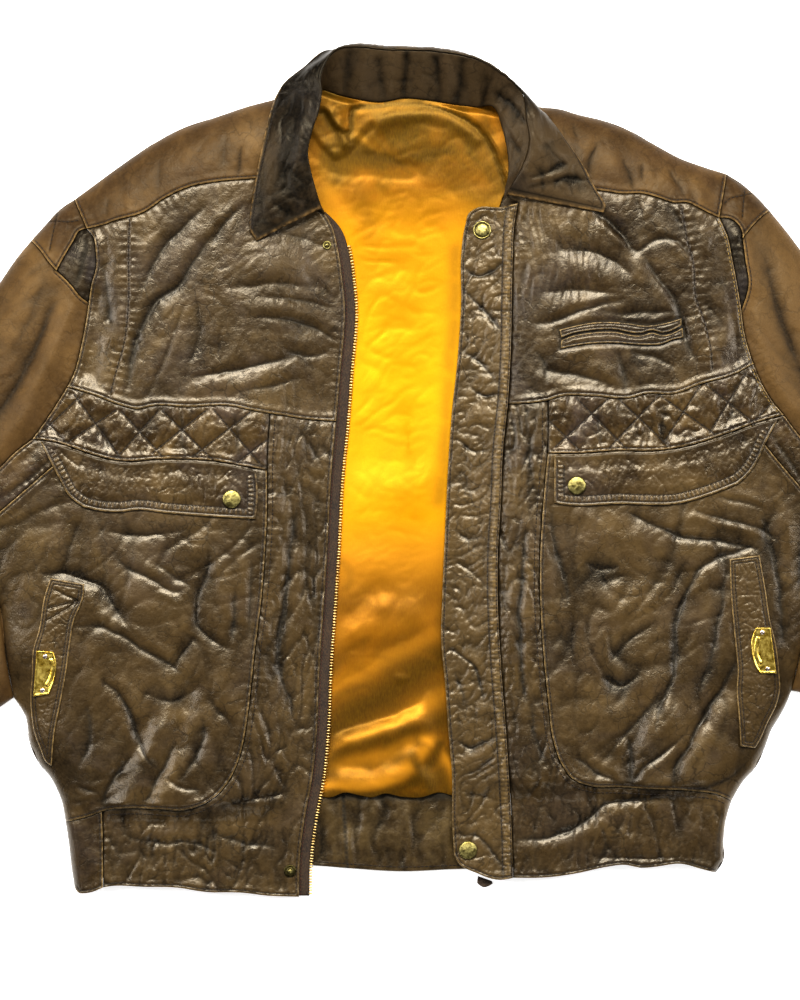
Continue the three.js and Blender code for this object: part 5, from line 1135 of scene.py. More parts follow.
def declare(o, nodes, slot, R=None, held="laid", rests="back_panel", grow=8.0, grown=1.0):
    """o replaces the nodes; R is its outline in mm, from which its flat cut is stated."""
    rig.ride(o, "root")
    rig.replaces(o, *nodes)
    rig.slot(o, slot)
    if R is not None:
        w, l = (R.max(0) - R.min(0) + grow) / 1000
        a = abs(area(R)) * 1.08 / 1e6
        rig.sheet(o, flat=(float(w), float(l)), held=held, rests_on=[rests], area=float(min(max(a * grown, 0.301 * w * l), w * l)))
        sheets[nodes[0]] = [round(float(w), 3), round(float(l), 3), round(a, 4)]


OVERS = ("over", "free")
for name, spec in PIECES.items():
    R = ring(*[part_of(p) for parts, _ in spec for p in parts])
    sleeve = name.startswith("sleeve_upper")
    ex = [smooth(mm(l), 1.5) for l in quilts.get(name, ())] + [smooth(mm(l), 1.5) for l in darts.get(name, ())]
    mat = MATT if name in MATTE else SLATE if name.startswith("sleeve_insert") else QUILT if name.startswith("quilt") or name.startswith("side_gusset") else MAIN
    cell = 1.25 if name == "placket_r" else 1.45 if name.startswith("quilt") else 1.9 if sleeve else 1.6
    f = lambda P, name=name: top(name, P)
    o = shell(name, R, f, 1.4 if name != "placket_r" else 1.9, cell, mat, extra=ex, far_cell=4.2 if sleeve else None)
    declare(o, [name], "leather_matte" if name in MATTE else "leather_main", R, rests="sleeve_under_" + name[-1] if name.startswith("sleeve") else "back_panel")
    zf = lambda P, name=name: top(name, P)[0]
    for parts, kind in spec:
        L = chain(*[part_of(p) for p in parts])
        if kind in OVERS:
            pale = any(isinstance(p, str) and p.lstrip("-") in ("armR2", "armR3", "armR4") for p in parts)
            row_inside(L, R, 2.3, zf, "pale" if pale else "dark")
        elif kind == "ridge":
            row_inside(L, R, 1.3, zf)
            row_inside(L, R, 8.4, zf)
    for l in ex:
        stitch_row(l, zf, pitch=3.4, length=2.3)
    if name in ("front_band_l", "front_band_r"):
        for parts, kind in spec:
            if kind == "under" and any("strip" in str(p) for p in parts):
                row_inside(chain(*parts), R, 4.6, zf)

# what lies on the panels
for name, pts, corners, lift, thick, stitch, cell in OVERLAYS:
    R = over_rings[name]
    LR = np.vstack((R, R[:1]))
    # a flap has no stitching along its top, which is caught in the seam above
    s_top = float(np.hypot(*np.diff(mm(pts[:corners[1] + 1]), axis=0).T).sum()) if name.startswith("flap") else -1.0

    def over_top(P, name=name, LR=LR, lift=lift, stitch=stitch, s_top=s_top):
        d, s, _ = near(P, LR)
        sewn = ease((s - s_top - 1.0) / 2.0) if s_top > 0 else 1.0
        h = wrinkles(name, P) * ease(d / 5)
        # sunk stitch lines, the flap's unsewn top under the seam above and the troughs of its stitched waves are
        # painted dark as shade
        groove = np.zeros(len(P))
        for k in stitch:
            h -= sewn * 0.42 * np.exp(-((d - k) / 0.65).clip(-9, 9)**2)
            groove += sewn * 0.6 * np.exp(-((d - k) / 0.5).clip(-9, 9)**2)
        rim = 1.0 * np.exp(-(d / 0.75)**2)
        if name.startswith("flap"):
            win = sewn * ease((d - 2.6) / 1.2) * ease((8.0 - d) / 1.2)
            rim = rim * (0.25 + 0.75 * sewn)
            groove += 0.7 * (1 - sewn) * np.exp(-(d / 1.2).clip(0, 9)**2)
            w = np.sin(2 * np.pi * s / 3.9 + 2.2 * noise(s / 9, s * 0, 71))
            h += win * (0.25 + 0.42 * w)
            rim += 0.22 * win * np.maximum(w, 0)**2
            groove += 0.5 * win * np.maximum(-w, 0)**2
            h += 0.6 * ease((d - 8.5) / 7)
            # bowed up a little over the snap and along its lower edge
        if name == "hand_welt_l":
            for l in ([[48, 620], [78, 602]], [[50, 608], [78, 601]], [[56, 590], [76, 600]]):
                h -= 0.9 * np.exp(-(near(P, mm(l), 8)[0] / 1.4).clip(0, 9)**2)
        if name == "chest_welt_lower":
            h += 0.7 * ease((d - 1.5) / 2.0)
        return base(P) + lift + h, {"relief": h, "rim": rim, "groove": groove, "tone": np.full(len(P), (0.34 if name.endswith("l") else 0.5) if name.startswith("hand") else 0.0)}

    dark = name.startswith("hand") or name.startswith("chest_welt_upper")
    o = shell(name, R, over_top, thick, cell, MAIN, rims=(0.15, 0.5, 1.0, 1.7, 2.4, 3.2))
    declare(o, [name], "leather_main", R, rests={"f": "pocket_panel_" + name[-1], "h": "pocket_panel_" + name[-1], "c": "front_upper_r"}[name[0]], grow=3.0)
    zf = lambda P, g=over_top: g(P)[0]
    row_at = LR if s_top < 0 else LR[int(np.searchsorted(np.r_[0, np.cumsum(np.hypot(*np.diff(LR, axis=0).T))], s_top)):]
    for k in stitch:
        row_inside(row_at, R, k, zf, pitch=3.1, length=2.2)

# ---------------------------------------------------------------- lining, inner waistband and the back
neckSeam = mm([[324,84],[338,89],[366,96],[382,97],[405,93],[428,95],[453,99],[484,102],[497,105]])
liningPoly = ring(neckSeam, mm([[497,105],[504,128],[509,150],[516,170],[517,178],[512,186],[506,192],[500,206],[497,215],[480,255],[474,364],[465,466],[459,600],[462,690],[468,790]]), mm([[468,790],[455,796],[440,793],[420,798],[400,797],[385,794],[372,798],[360,796],[345,793],[330,798],[315,796],[300,793]]), mm([[300,793],[306,728],[312,640],[318,520],[326,400],[330,300],[318,250],[300,205],[306,150],[310,115],[324,84]]), step=2.4)
lip = smooth(mm([[310,112],[322,110],[336,128],[347,132],[352,108],[376,104],[402,101],[428,104],[453,112],[479,128],[490,143],[500,165],[507,186]]), 3)
SAT = [([[303,706],[340,694],[380,672],[420,648],[462,632]], -4.2, 15), ([[318,765],[345,744],[385,734],[425,722],[462,716]], 3.6, 12), ([[306,744],[330,730],[380,712],[420,690],[462,664]], -4.6, 12),
       ([[316,790],[340,782],[370,786],[396,776],[430,748],[462,732]], 3.0, 9), ([[440,756],[456,768],[466,780]], -3.0, 7), ([[410,760],[424,776],[436,792]], 2.2, 7), ([[312,640],[350,636],[400,616],[450,604]], 1.6, 12), ([[308,672],[330,640],[356,610],[380,590]], -1.4, 9), ([[322,664],[350,634],[382,610]], 1.2, 8),
       ([[330,520],[380,500],[440,486]], 0.9, 16), ([[325,430],[380,450],[450,440]], -0.8, 18), ([[306,132],[322,152],[340,164],[372,166],[410,172]], -2.2, 8), ([[300,120],[318,140],[334,154]], 2.0, 5), ([[330,112],[340,128],[346,144]], 2.4, 4), ([[358,140],[380,122],[410,114],[446,118],[478,138]], 1.6, 6),
       ([[352,156],[362,138],[372,128]], -1.6, 4), ([[400,640],[412,652],[420,664]], -0.8, 3.5), ([[420,690],[440,700],[458,704]], 1.2, 6), ([[438,676],[448,690],[460,694]], -1.0, 4)]
satc = [(smooth(mm(l), 5), a, w) for l, a, w in SAT]
# where the satin turns to the light (positive) or away from it
tones = [(smooth(mm(l), 5), a, w) for l, a, w in [
    ([[303,748],[330,730],[370,704],[400,684],[430,664],[462,648]], -0.85, 15), ([[303,700],[330,690],[370,668],[410,650],[462,622]], 0.45, 9), ([[340,744],[380,728],[420,706],[462,690]], 0.55, 8), ([[310,772],[345,752],[385,738],[425,726],[462,716]], -0.6, 6),
    ([[318,790],[345,786],[372,786],[402,772],[425,752]], 0.75, 6), ([[320,760],[350,762],[385,756],[410,742]], 0.45, 7), ([[345,796],[380,794],[410,784],[432,764],[440,744]], -0.8, 5), ([[424,738],[440,752],[454,772],[462,792]], 0.8, 6), ([[412,756],[424,774],[436,794]], -0.7, 4), ([[448,748],[458,760],[466,776]], -0.6, 4), ([[322,796],[340,792],[352,794]], -0.6, 3.5),
    ([[325,596],[360,606],[400,596],[450,590]], -0.18, 14), ([[318,640],[350,632],[400,624],[455,606]], 0.22, 9), ([[336,704],[352,690],[372,686]], -0.4, 5), ([[330,664],[350,650],[366,640]], -0.25, 5),
    ([[330,116],[340,136],[352,148],[380,158],[414,158],[446,150]], -1.0, 8), ([[322,132],[330,150],[338,176]], -0.7, 6), ([[350,128],[362,142],[380,150]], 0.45, 5), ([[372,128],[400,118],[440,122],[474,142]], -0.75, 11), ([[430,165],[460,180],[490,196]], -0.6, 14), ([[380,150],[420,156],[470,170]], -0.6, 14), ([[360,110],[400,106],[440,110],[470,122]], 0.5, 4), ([[440,140],[470,156],[494,180]], -0.5, 8), ([[344,170],[360,200],[372,230]], -0.3, 8), ([[330,190],[345,212]], 0.3, 6),
    ([[336,560],[350,572],[346,588]], -0.25, 4), ([[352,470],[380,480],[420,470]], 0.15, 14), ([[456,560],[448,600],[446,640]], -0.5, 7), ([[334,240],[342,300],[345,360]], -0.4, 5), ([[455,250],[452,330],[446,420],[440,500]], -0.35, 6)]]
front_edges = [cat(frontL1, frontL2), mm(placketL)]


def lining_top(P):
    u, v = P[:, 0] / S + 400, 500 - P[:, 1] / S
    free = ease((nearest(P, front_edges, 60) - 7) / 20)  # low beside the zip and the placket
    W = P + 3 * np.column_stack((noise(P[:, 0] / 30, P[:, 1] / 30, 81), noise(P[:, 0] / 30, P[:, 1] / 30, 82)))
    h = np.zeros(len(P))
    for l, a, w in satc:
        h += a * np.exp(-(near(W, l, 3 * w)[0] / w).clip(0, 9)**2)
    h += 0.8 * noise(P[:, 0] / 34, P[:, 1] / 26, 83) + 0.35 * crumple(P[:, 0], P[:, 1], 22, 84, 1.6, 30, 0.6)
    k = ease((v - 560) / 80)
    h += k * (1.5 * noise(P[:, 0] / 22 + P[:, 1] / 44, P[:, 1] / 20, 85)) + 1.6 * k
    d, s, side = near(P, lip, 60)
    up = side > 0
    h += np.where(up & (d < 40), 3.2 * ease(d / 2.5) + 0.6 * np.sin(s / 4.2) * ease(d / 4), -1.0 * np.exp(-(np.minimum(d, 60) / 7)**2))
    # a soft puff over the waistband
    h += 2.0 * ease((v - 764) / 16) * rnd((799 - v) / 12)
    z = 4.0 + np.maximum(h + 0.6, -0.4) * free * 0.9 + 0.7 * (1 - free)
    z = np.where(z < 3.4, 3.4, 3.4 + 7.2 * np.tanh((z - 3.4) / 7.2))
    dn = near(P, neckSeam, 40)[0]
    z = 3.3 + (z - 3.3) * ease((dn - 4.5) / 5)
    # painted shadow below the tucked lip and in its fold, and along the lining's lower edge over the waistband
    tuck = 0.9 * np.exp(-(np.minimum(d, 60) / 3.0)**2) * (~up) + 0.60 * np.exp(-(np.minimum(d, 60) / 13)**2) * (~up) + 0.5 * up * (d < 40) * np.exp(-(d / 2.0)**2)
    tuck += 0.8 * ease((v - 790) / 7)
    glow, shade = np.zeros(len(P)), np.zeros(len(P))
    for l, a, w in tones:
        g = np.exp(-(near(W, l, 3 * w)[0] / w).clip(0, 9)**2)
        if a > 0:
            glow = np.maximum(glow, a * g)
        else:
            shade = np.maximum(shade, -a * g)
    f = 0.75 + 0.9 * noise(P[:, 0] / 20 + P[:, 1] / 30, P[:, 1] / 12, 86)
    shade = shade * np.clip(f + 0.35, 0, 1)
    glow = glow * np.clip(f + 0.35, 0, 1) * (1 - shade)
    # the painted shade mottle is heaviest towards the neck and the waist
    top_k = 1 - ease((v - 190) / 50)
    return z, {"down": np.clip((v - 90) / 710, 0, 1), "tuck": tuck, "glow": np.clip(glow, 0, 1), "shade": np.clip(shade, 0, 1), "veil": 0.18 + 0.5 * top_k + 0.35 * k}


o = shell("back_lining", liningPoly, lining_top, 0.7, 2.0, SATIN, rims=(0.2, 0.7, 1.6), rim_r=0.4, low_cell=12, low=lambda B: np.full(len(B), 2.75))
declare(o, ["back_lining"], "lining_satin", liningPoly, rests="back_panel")

bandPoly = ring(mm([[300,789],[360,790],[420,790],[474,789]]), mm([[474,789],[476,820],[474,869.5]]), mm([[474,869.5],[452,870],[430,871.5],[400,872],[376,871],[350,869.5],[330,867],[309,865],[290,868]]), mm([[290,868],[292,830],[300,789]]), step=2.0)


def band_top(P):
    u, v = P[:, 0] / S + 400, 500 - P[:, 1] / S
    w = noise(P[:, 0] / 8.5 + 1.2 * noise(P[:, 0] / 20, P[:, 1] / 25, 91), P[:, 1] / 46, 92)
    w2 = noise(P[:, 0] / 4.2, P[:, 1] / 30, 93)
    h = 2.5 * w + 0.7 * w2 + 0.5 * crumple(P[:, 0], P[:, 1], 15, 94, 1.6, 80)
    seam = near(P, smooth(mm([[343,796],[345,830],[347,869]]), 3), 10)[0]
    h += -0.9 * np.exp(-(seam / 1.1).clip(0, 9)**2) + 0.7 * np.exp(-((seam - 3) / 1.6).clip(-9, 9)**2)
    g = 0.9 * np.exp(-(seam / 0.9).clip(0, 9)**2)
    edge = ease((869 - v) / 8)
    # the seam line is painted dark as shade, and the band's top as the painted shadow under the lining's edge
    return 3.2 + np.maximum(h, -1.2) * (0.25 + 0.75 * edge) * ease((v - 788) / 10), {"relief": h, "groove": g + 0.9 * ease((803 - v) / 6), "rim": 0.5 * (1 - ease((871 - v) / 2.5))}


backBand = ring(mm([[70,796],[292,796],[302,786],[472,786],[482,796],[726,796]]), mm([[726,796],[722,822],[720,850],[712,862]]), mm([[712,862],[600,866],[520,868],[452,870],[400,872],[350,869],[309,866],[200,874],[110,878],[82,880]]), mm([[82,880],[76,862],[72,830],[70,796]]), step=2.2)


def band_all(P):
    z, at = band_top(P)
    u, v = P[:, 0] / S + 400, 500 - P[:, 1] / S
    k = ease((u - 262) / 20) * ease((512 - u) / 20)
    h = 0.6 * crumple(P[:, 0], P[:, 1], 20, 95, 1.6, 80)
    z = z * k + (2.5 + 0.4 * np.clip(h, -1, 1)) * (1 - k)
    at["groove"] = at["groove"] * k
    return np.minimum(z, 5.6 - 2.2 * (1 - k)), at


def grain_under(P, seed, amp=0.55):
    """Hollows in the flat underside, never below the floor."""
    return np.clip(0.32 + amp * crumple(P[:, 0], P[:, 1], 30, seed, 1.4, 60) * -0.8, 0.0, 0.9)


o = shell("back_waistband", backBand, band_all, 1.4, 2.2, INNER, rims=(0.3, 1.0, 2.0), low_cell=6, low=lambda B: grain_under(B, 301, 0.4) * 0.6)
declare(o, ["back_waistband"], "leather_main", backBand, held="gathered", rests="back_panel")
zb = lambda P: band_all(P)[0]
row = smooth(mm([[306,861.5],[350,864.5],[400,867.5],[452,866],[472,865.5]]), 1.5)
stitch_row(row, zb, pitch=3.2)


backR = ring("backNeck", "shoulderR", "armR1", "armR2", "armR3", "armR4", "armR5", "-sideTopR", "-sideUpR", mm([[792,691],[786,706],[780,717],[772,730],[765,749],[755,769],[744,781],[735,794]]), mm([[735,794],[62,794]]), mm([[62,794],[51,779],[38,763],[29,743],[25,717],[13,698]]), "sideUpL", "sideTopL", "-armL5", "-armL4", "-armL3", "-armL2", "-armL1", "-shoulderL", step=4)
underLR = {"l": ring("patchOutL", "sleeveOutL", mm([[-300,745],[-190,838]]), "sleeveLowL", "sideUpL", "sideTopL", "-armL5", "-armL4", "-armL3", "-armL2", "-armL1", step=4), "r": ring("patchOutR", "sleeveOutR", mm([[1098,715],[985,810]]), "sleeveLowR", "sideUpR", "sideTopR", "-armR5", "-armR4", "-armR3", "-armR2", "-armR1", step=4)}

def flat_piece(name, R, seed, mat, slot, pull):
    """A back piece that lies on the floor: its face is the lower one."""
    if area(R) < 0:
        R = R[::-1]
    d = np.min([near(R, s, 30)[0] for s in SIL + [chain("backNeck", step=4)]], 0)
    Q = R + normals(R) * np.where(d < 1.0, pull, 0.25)[:, None]
    seam_lines = {"back_panel": [mm([[95,232],[220,214],[400,208],[590,212],[715,222]]), mm([[400,208],[400,792]])]}.get(name, [])

    def low(B):
        h = grain_under(B, seed)
        for a, b, w in hidden.get(name, ()):
            h += b * np.exp(-(near(B, a, 4 * w)[0] / w).clip(0, 9)**2)
        for s in seam_lines:
            q = near(B, s, 12)[0]
            h = h + 0.5 * np.exp(-(q / 1.3).clip(0, 9)**2) - 0.5 * np.exp(-((q - 5) / 3).clip(-9, 9)**2)
        e = near(B, np.vstack((Q, Q[:1])), 12)[0]
        return np.clip(h, 0, 1.6) * ease(e / 6)

    def tf(P):
        return np.full(len(P), 1.75), {"relief": np.zeros(len(P)), "rim": np.zeros(len(P)), "groove": np.zeros(len(P))}

    o = shell(name, Q, tf, 1.5, 14.0, mat, rims=(0.5,), rim_r=0.3, low_cell=3.4, low=low)
    declare(o, [name], slot, R, rests="back_panel" if name != "back_panel" else "sleeve_under_l")
    return o


hidden = {k: [(smooth(mm(l), 6), a, w) for l, a, w in v] for k, v in {
    "back_panel": [([[130,260],[200,330],[240,420]], 0.9, 8), ([[670,260],[600,340],[560,430]], 0.9, 8), ([[60,560],[150,600],[230,590]], 0.8, 9), ([[740,560],[650,600],[560,590]], 0.8, 9), ([[160,700],[180,740],[176,790]], 1.0, 5), ([[250,720],[256,760],[250,790]], 0.9, 5), ([[620,700],[610,745],[616,790]], 1.0, 5), ([[540,720],[546,760],[540,790]], 0.9, 5), ([[330,260],[400,300],[470,262]], 0.7, 10)],
    "sleeve_under_l": [([[-20,330],[-60,430],[-120,530]], 0.9, 9), ([[-70,520],[-130,610],[-190,700]], 0.9, 9), ([[10,560],[-40,640],[-110,730]], 0.9, 8)],
    "sleeve_under_r": [([[820,300],[870,400],[930,500]], 0.9, 9), ([[880,500],[940,590],[1000,690]], 0.9, 9), ([[800,560],[850,640],[920,730]], 0.9, 8)]}.items()}
flat_piece("back_panel", backR, 311, MAIN, "leather_main", 1.2)
flat_piece("sleeve_under_l", underLR["l"], 312, MATT, "leather_matte", 1.2)
flat_piece("sleeve_under_r", underLR["r"], 313, MATT, "leather_matte", 1.2)


# ---------------------------------------------------------------- surfaces lofted through rows
def spline(A, n):
    """Catmull-Rom along the first axis of A, n samples, by chord length."""
    A = np.asarray(A, float)
    k = A.reshape(len(A), -1)
    t = np.r_[0, np.cumsum(np.maximum(np.linalg.norm(np.diff(k, axis=0), axis=1), 1e-6)**0.7)]
    t /= t[-1]
    q = np.linspace(0, 1, n)
    m = np.gradient(k, t, axis=0)
    i = np.clip(np.searchsorted(t, q, side="right") - 1, 0, len(t) - 2)
    h = (t[i + 1] - t[i])[:, None]
    s = ((q - t[i])[:, None]) / h
    out = (2 * s**3 - 3 * s**2 + 1) * k[i] + (s**3 - 2 * s**2 + s) * h * m[i] + (3 * s**2 - 2 * s**3) * k[i + 1] + (s**3 - s**2) * h * m[i + 1]
    return out.reshape((n,) + A.shape[1:])


def slab(name, G, thick, mat, relief=None, attrs=None, closed_u=False):
    """A closed slab about the grid of points G (rows, columns, xyz), with rounded rims."""
    n, m, _ = G.shape
    du = np.gradient(G, axis=0)
    if closed_u:
        du = (np.roll(G, -1, 0) - np.roll(G, 1, 0)) / 2
    dv = np.gradient(G, axis=1)
    N = np.cross(du, dv)
    N /= np.maximum(np.linalg.norm(N, axis=2), 1e-9)[:, :, None]
    j = np.arange(m)
    # rounded towards the rims
    i = np.arange(n)
    ed = np.minimum(j, m - 1 - j)[None, :] + 0 * i[:, None]
    if not closed_u:
        ed = np.minimum(ed, np.minimum(i, n - 1 - i)[:, None])
    t = thick / 2 * np.array([0.45, 0.8, 0.95, 1.0])[np.minimum(ed, 3)]
    r = np.zeros((n, m)) if relief is None else relief
    A = G + N * (t + r)[:, :, None]
    B = G - N * (t - r * 0.8)[:, :, None]
    V = np.vstack((A.reshape(-1, 3), B.reshape(-1, 3)))
    I = (np.arange(n * m)).reshape(n, m)
    if closed_u:
        I1 = np.roll(I, -1, 0)
        q = np.stack((I[:, :-1], I1[:, :-1], I1[:, 1:], I[:, 1:]), -1).reshape(-1, 4)
    else:
        q = np.stack((I[:-1, :-1], I[1:, :-1], I[1:, 1:], I[:-1, 1:]), -1).reshape(-1, 4)
    k = n * m
    F = [q, q[:, ::-1] + k]
    loop = []
    if closed_u:
        for c, f in ((0, 1), (m - 1, -1)):
            a = I[:, c]
            b = np.roll(a, -1)
            w = np.stack((a, a + k, b + k, b), -1)
            F.append(w[:, ::f])
    else:
        per = np.r_[I[0, :], I[1:, -1], I[-1, -2::-1], I[-2:0:-1, 0]]
        a, b = per, np.roll(per, -1)
        F.append(np.stack((a, b, b + k, a + k), -1))
    at = {q_: np.r_[v.ravel(), v.ravel() * 0.6] for q_, v in (attrs or {}).items()}
    return mesh(name, V, np.vstack(F), mat, at)


stations = [
  [[325,214,13.5],[321,208.5,20],[257,241,None]], [[315,196,17],[315,188,27],[250,228,None]], [[305,176,19],[310,168,31],[254,192,None]], [[301,150,19],[308,152,33],[261,154,None]],
  [[302,128,17],[313,130,34],[267,127,None]], [[307,106,13],[319,112,35],[272,108,None]], [[314,92,8],[322,92,35],[277,95,None]], [[322,88.5,4.5],[321,78,35],[284,84,None]],
  [[330,91,4.2],[327,62,34],[302,70,None]], [[340,94.5,4.2],[338,49.5,33],[328,51.5,14]], [[357,98.5,4.2],[357,47.5,32],[355,72,2.4]], [[380,101.5,4.2],[383,50,32],[383,78,2.0]],
  [[405,97.5,4.2],[410,51,32],[410,78,2.0]], [[428,99.5,4.2],[435,52,32],[436,78,2.0]], [[453,103.5,4.2],[461,56,33],[466,76,2.4]], [[476,106.5,4.2],[480,61,34],[487,66,12]],
  [[491,106,5],[498,71,35],[518,87.5,None]], [[497,112,9],[512,82,36],[535,105,None]], [[501,125,13],[523,96,36],[553,125,None]], [[505,140,17],[526,120,35],[568,145,None]],
  [[508,158,19],[529,143,34],[584,168,None]], [[508,176,20],[522,167,31],[596,191,None]], [[505,190,19],[513,183,27],[605,206,None]], [[504,200,15],[507,195,20],[603,213,None]]]


def base_at(x, y):
    return float(base(np.array([[x, y]]))[0])


def at3(p):
    q = mm([p[:2]])[0]
    return [q[0], q[1], p[2]]


fallRows, standRows = [], []
for i, (seam, roll, out) in enumerate(stations):
    r, o3, rws = at3(roll), at3(out), []
    if out[2] is None:
        zo = max(base_at(o3[0], o3[1]), 3.5) + 2.6
        for t in (0, 0.12, 0.4, 0.72, 1):
            x, y = r[0] + (o3[0] - r[0]) * t, r[1] + (o3[1] - r[1]) * t
            z = r[2] + (zo - r[2]) * t
            rws.append([x, y, max(z + 2.2 * math.sin(math.pi * min(1, t * 1.25)), base_at(x, y) + 2.6)])
    else:
        drop = 1 if out[2] < 5 else 0.45
        for a, b in ((0, 1), (-0.09, 0.88), (-0.10 * drop, 0.5), (0.3, 0.15), (1, 0)):
            rws.append([r[0] + (o3[0] - r[0]) * max(0, a), r[1] + (o3[1] - r[1]) * a, out[2] + (r[2] - out[2]) * b])
    fallRows.append(rws)
    s, under = at3(seam), 2.6
    if seam[2] > 4.6:
        s[2] = max(base_at(s[0], s[1]), 4) + 1.6
    rws = []
    for t in (0, 0.35, 0.7, 1):
        k = (0.985 if 16 < i < 19 else 1.0) * t
        x, y = s[0] + (r[0] - s[0]) * k, s[1] + (r[1] - s[1]) * k - (0.9 * t if 8 < i < 16 else 0)
        z = s[2] + (r[2] - under - s[2]) * t
        rws.append([x, y, max(z, base_at(x, y) + 1.3) if seam[2] > 4.6 else z])
    standRows.append(rws)


def dense(rows_, n, m):
    G = spline(np.array(rows_), n)
    return spline(G.transpose(1, 0, 2), m).transpose(1, 0, 2)


FC = [(smooth(mm(l), 4), a, w) for l, a, w in [
    ([[534,118],[534,157],[526,176]], 1.8, 4), ([[524,178],[544,175],[563,165]], -1.5, 3), ([[530,188],[549,183],[577,180]], -1.3, 3), ([[528,182],[548,179],[570,172]], 0.9, 3.2), ([[545,116],[560,140],[574,160]], 1.0, 6), ([[550,150],[560,170],[580,186]], -0.9, 6), ([[519,98],[524,110],[522,128]], -1.4, 3), ([[516,190],[560,196],[596,203]], 0.8, 5),
    ([[318,120],[312,160],[316,192]], 1.2, 4), ([[300,110],[290,150],[286,190]], -1.6, 5), ([[308,100],[300,140],[300,170]], 1.2, 4), ([[280,110],[272,150],[270,190]], 1.0, 5), ([[276,205],[290,214],[306,212]], -1.2, 4), ([[262,180],[268,206],[280,224]], 0.9, 5), ([[330,72],[322,96],[318,120]], 0.9, 3),
    ([[350,54],[352,70],[357,86]], 1.2, 4), ([[392,54],[396,74]], -1.0, 4), ([[430,56],[428,74],[432,92]], 1.0, 4), ([[450,60],[452,84]], -1.0, 3), ([[500,78],[512,92]], -0.9, 3)]]


def collar_relief(G, seed, amp=1.0, pleats=None):
    P = G[:, :, :2].reshape(-1, 2)
    W = P + 1.5 * np.column_stack((noise(P[:, 0] / 15, P[:, 1] / 15, 41), noise(P[:, 0] / 15, P[:, 1] / 15, 42)))
    h = np.zeros(len(P))
    for l, a, w in pleats if pleats is not None else FC:
        h += 0.8 * a * np.exp(-(near(W, l, 3 * w)[0] / w).clip(0, 9)**2)
    h += amp * (0.75 * crumple(P[:, 0], P[:, 1], 18, seed, 1.5, 80) + 0.28 * crumple(P[:, 0], P[:, 1], 7, seed + 1, 1.4, 70))
    return h.reshape(G.shape[:2])


G = dense(fallRows, 264, 50)
n, m = G.shape[:2]
arc = np.linalg.norm(np.diff(G, axis=1), axis=2)
de = np.zeros((n, m))
de[:, :-1] = np.cumsum(arc[:, ::-1], 1)[:, ::-1]
ends = np.minimum(np.cumsum(np.r_[0, np.linalg.norm(np.diff(G[:, -1], axis=0), axis=1)]), 1e9)
ends = np.minimum(ends, ends[-1] - ends)[:, None] * np.ones((1, m))
de = np.minimum(de, ends)
rel = collar_relief(G, 201) * ease(de / 5)
seamh = 0.5 * ease((9 - de) / 5) - 0.45 * np.exp(-((de - 3.0) / 0.7)**2)
# the stitch line round the collar's edge is painted dark as shade; its rim is worn paler
o = slab("collar_fall", G, 1.7, COLLAR, rel * 0.8 + seamh * 0.6, {"relief": rel, "rim": np.exp(-(de / 1.3)**2), "groove": 0.9 * np.exp(-((de - 3.0) / 0.55)**2), "tone": 0.80 * ease((G[:, :, 0] / S + 400 - 505) / 40) * ease((500 - G[:, :, 1] / S - 95) / 45) + 0.35 * ease((G[:, :, 0] / S + 400 - 335) / 20) * ease((520 - G[:, :, 0] / S - 400) / 30)})
declare(o, ["collar_fall"], "leather_collar")
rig.sheet(o, flat=(0.56, 0.085), held="folded", rests_on=["yoke_l", "yoke_r"], area=0.018)
sheets["collar_fall"] = [0.56, 0.085, 0.018]
fallG = G

SC = [(smooth(mm(l), 4), a, w) for l, a, w in [([[333,66],[340,90]], 1.2, 4), ([[350,52],[346,92]], -1.2, 4), ([[366,54],[360,96]], 1.6, 4), ([[378,60],[384,96]], -1.0, 3), ([[394,54],[392,96]], 1.4, 4), ([[407,54],[404,94]], -1.4, 2.5), ([[424,56],[420,96]], 1.2, 4), ([[436,60],[440,98]], -1.2, 3), ([[446,64],[448,98]], 1.5, 4), ([[462,62],[458,100]], -1.2, 3), ([[472,70],[474,100]], 1.2, 4), ([[486,80],[484,104]], -1.0, 3),
    ([[496,108],[508,126],[518,142]], 1.6, 3), ([[497,94],[510,106],[524,122]], -1.5, 3), ([[503,120],[512,136],[518,150]], -1.2, 2.5)]]
G = dense(standRows, 220, 34)
rel = collar_relief(G, 211, 0.8, SC)
n, m = G.shape[:2]
vfade = ease(np.minimum(np.arange(m), m - 1 - np.arange(m)) / 6.0)[None, :]
# the foot of the stand is painted dark as shade
o = slab("collar_stand", G, 1.4, COLLAR, rel * 0.6 * vfade, {"relief": rel, "rim": np.zeros((n, m)), "groove": 0.6 * np.exp(-(np.arange(m)[None, :] / 1.5)**2) * np.ones((n, 1)), "tone": np.full((n, m), 0.62)})
declare(o, ["collar_stand"], "leather_collar")
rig.sheet(o, flat=(0.47, 0.05), held="folded", rests_on=["yoke_l", "yoke_r"], area=0.0108)
sheets["collar_stand"] = [0.47, 0.05, 0.0108]

# stitches round the collar's edge, on its upper face
j = np.array([int(np.argmin(np.abs(de[i] - 3.0))) for i in range(len(de))])
pathc = np.array([fallG[i, j[i]] for i in range(8, len(de) - 8)])


def stitch3(pts, kind="dark", pitch=3.2, length=2.2, r=0.36, lift=1.15):
    s = np.r_[0, np.cumsum(np.linalg.norm(np.diff(pts, axis=0), axis=1))]
    n_ = int(s[-1] / pitch)
    q = (np.arange(n_) + 0.5) * s[-1] / n_
    at = lambda t: np.column_stack([np.interp(t, s, pts[:, k]) for k in range(3)])
    a, b = at(q - length / 2), at(q + length / 2)
    c = (a + b) / 2 + [0, 0, lift]
    rows[kind].append((c, (b - a) / 2, np.full(n_, r)))


ok = np.array([fallG[i, -1, 2] > 10 for i in range(8, len(de) - 8)])
cut = np.flatnonzero(~ok)
if len(cut):
    stitch3(pathc[:cut[0]])
    stitch3(pathc[cut[-1] + 1:])

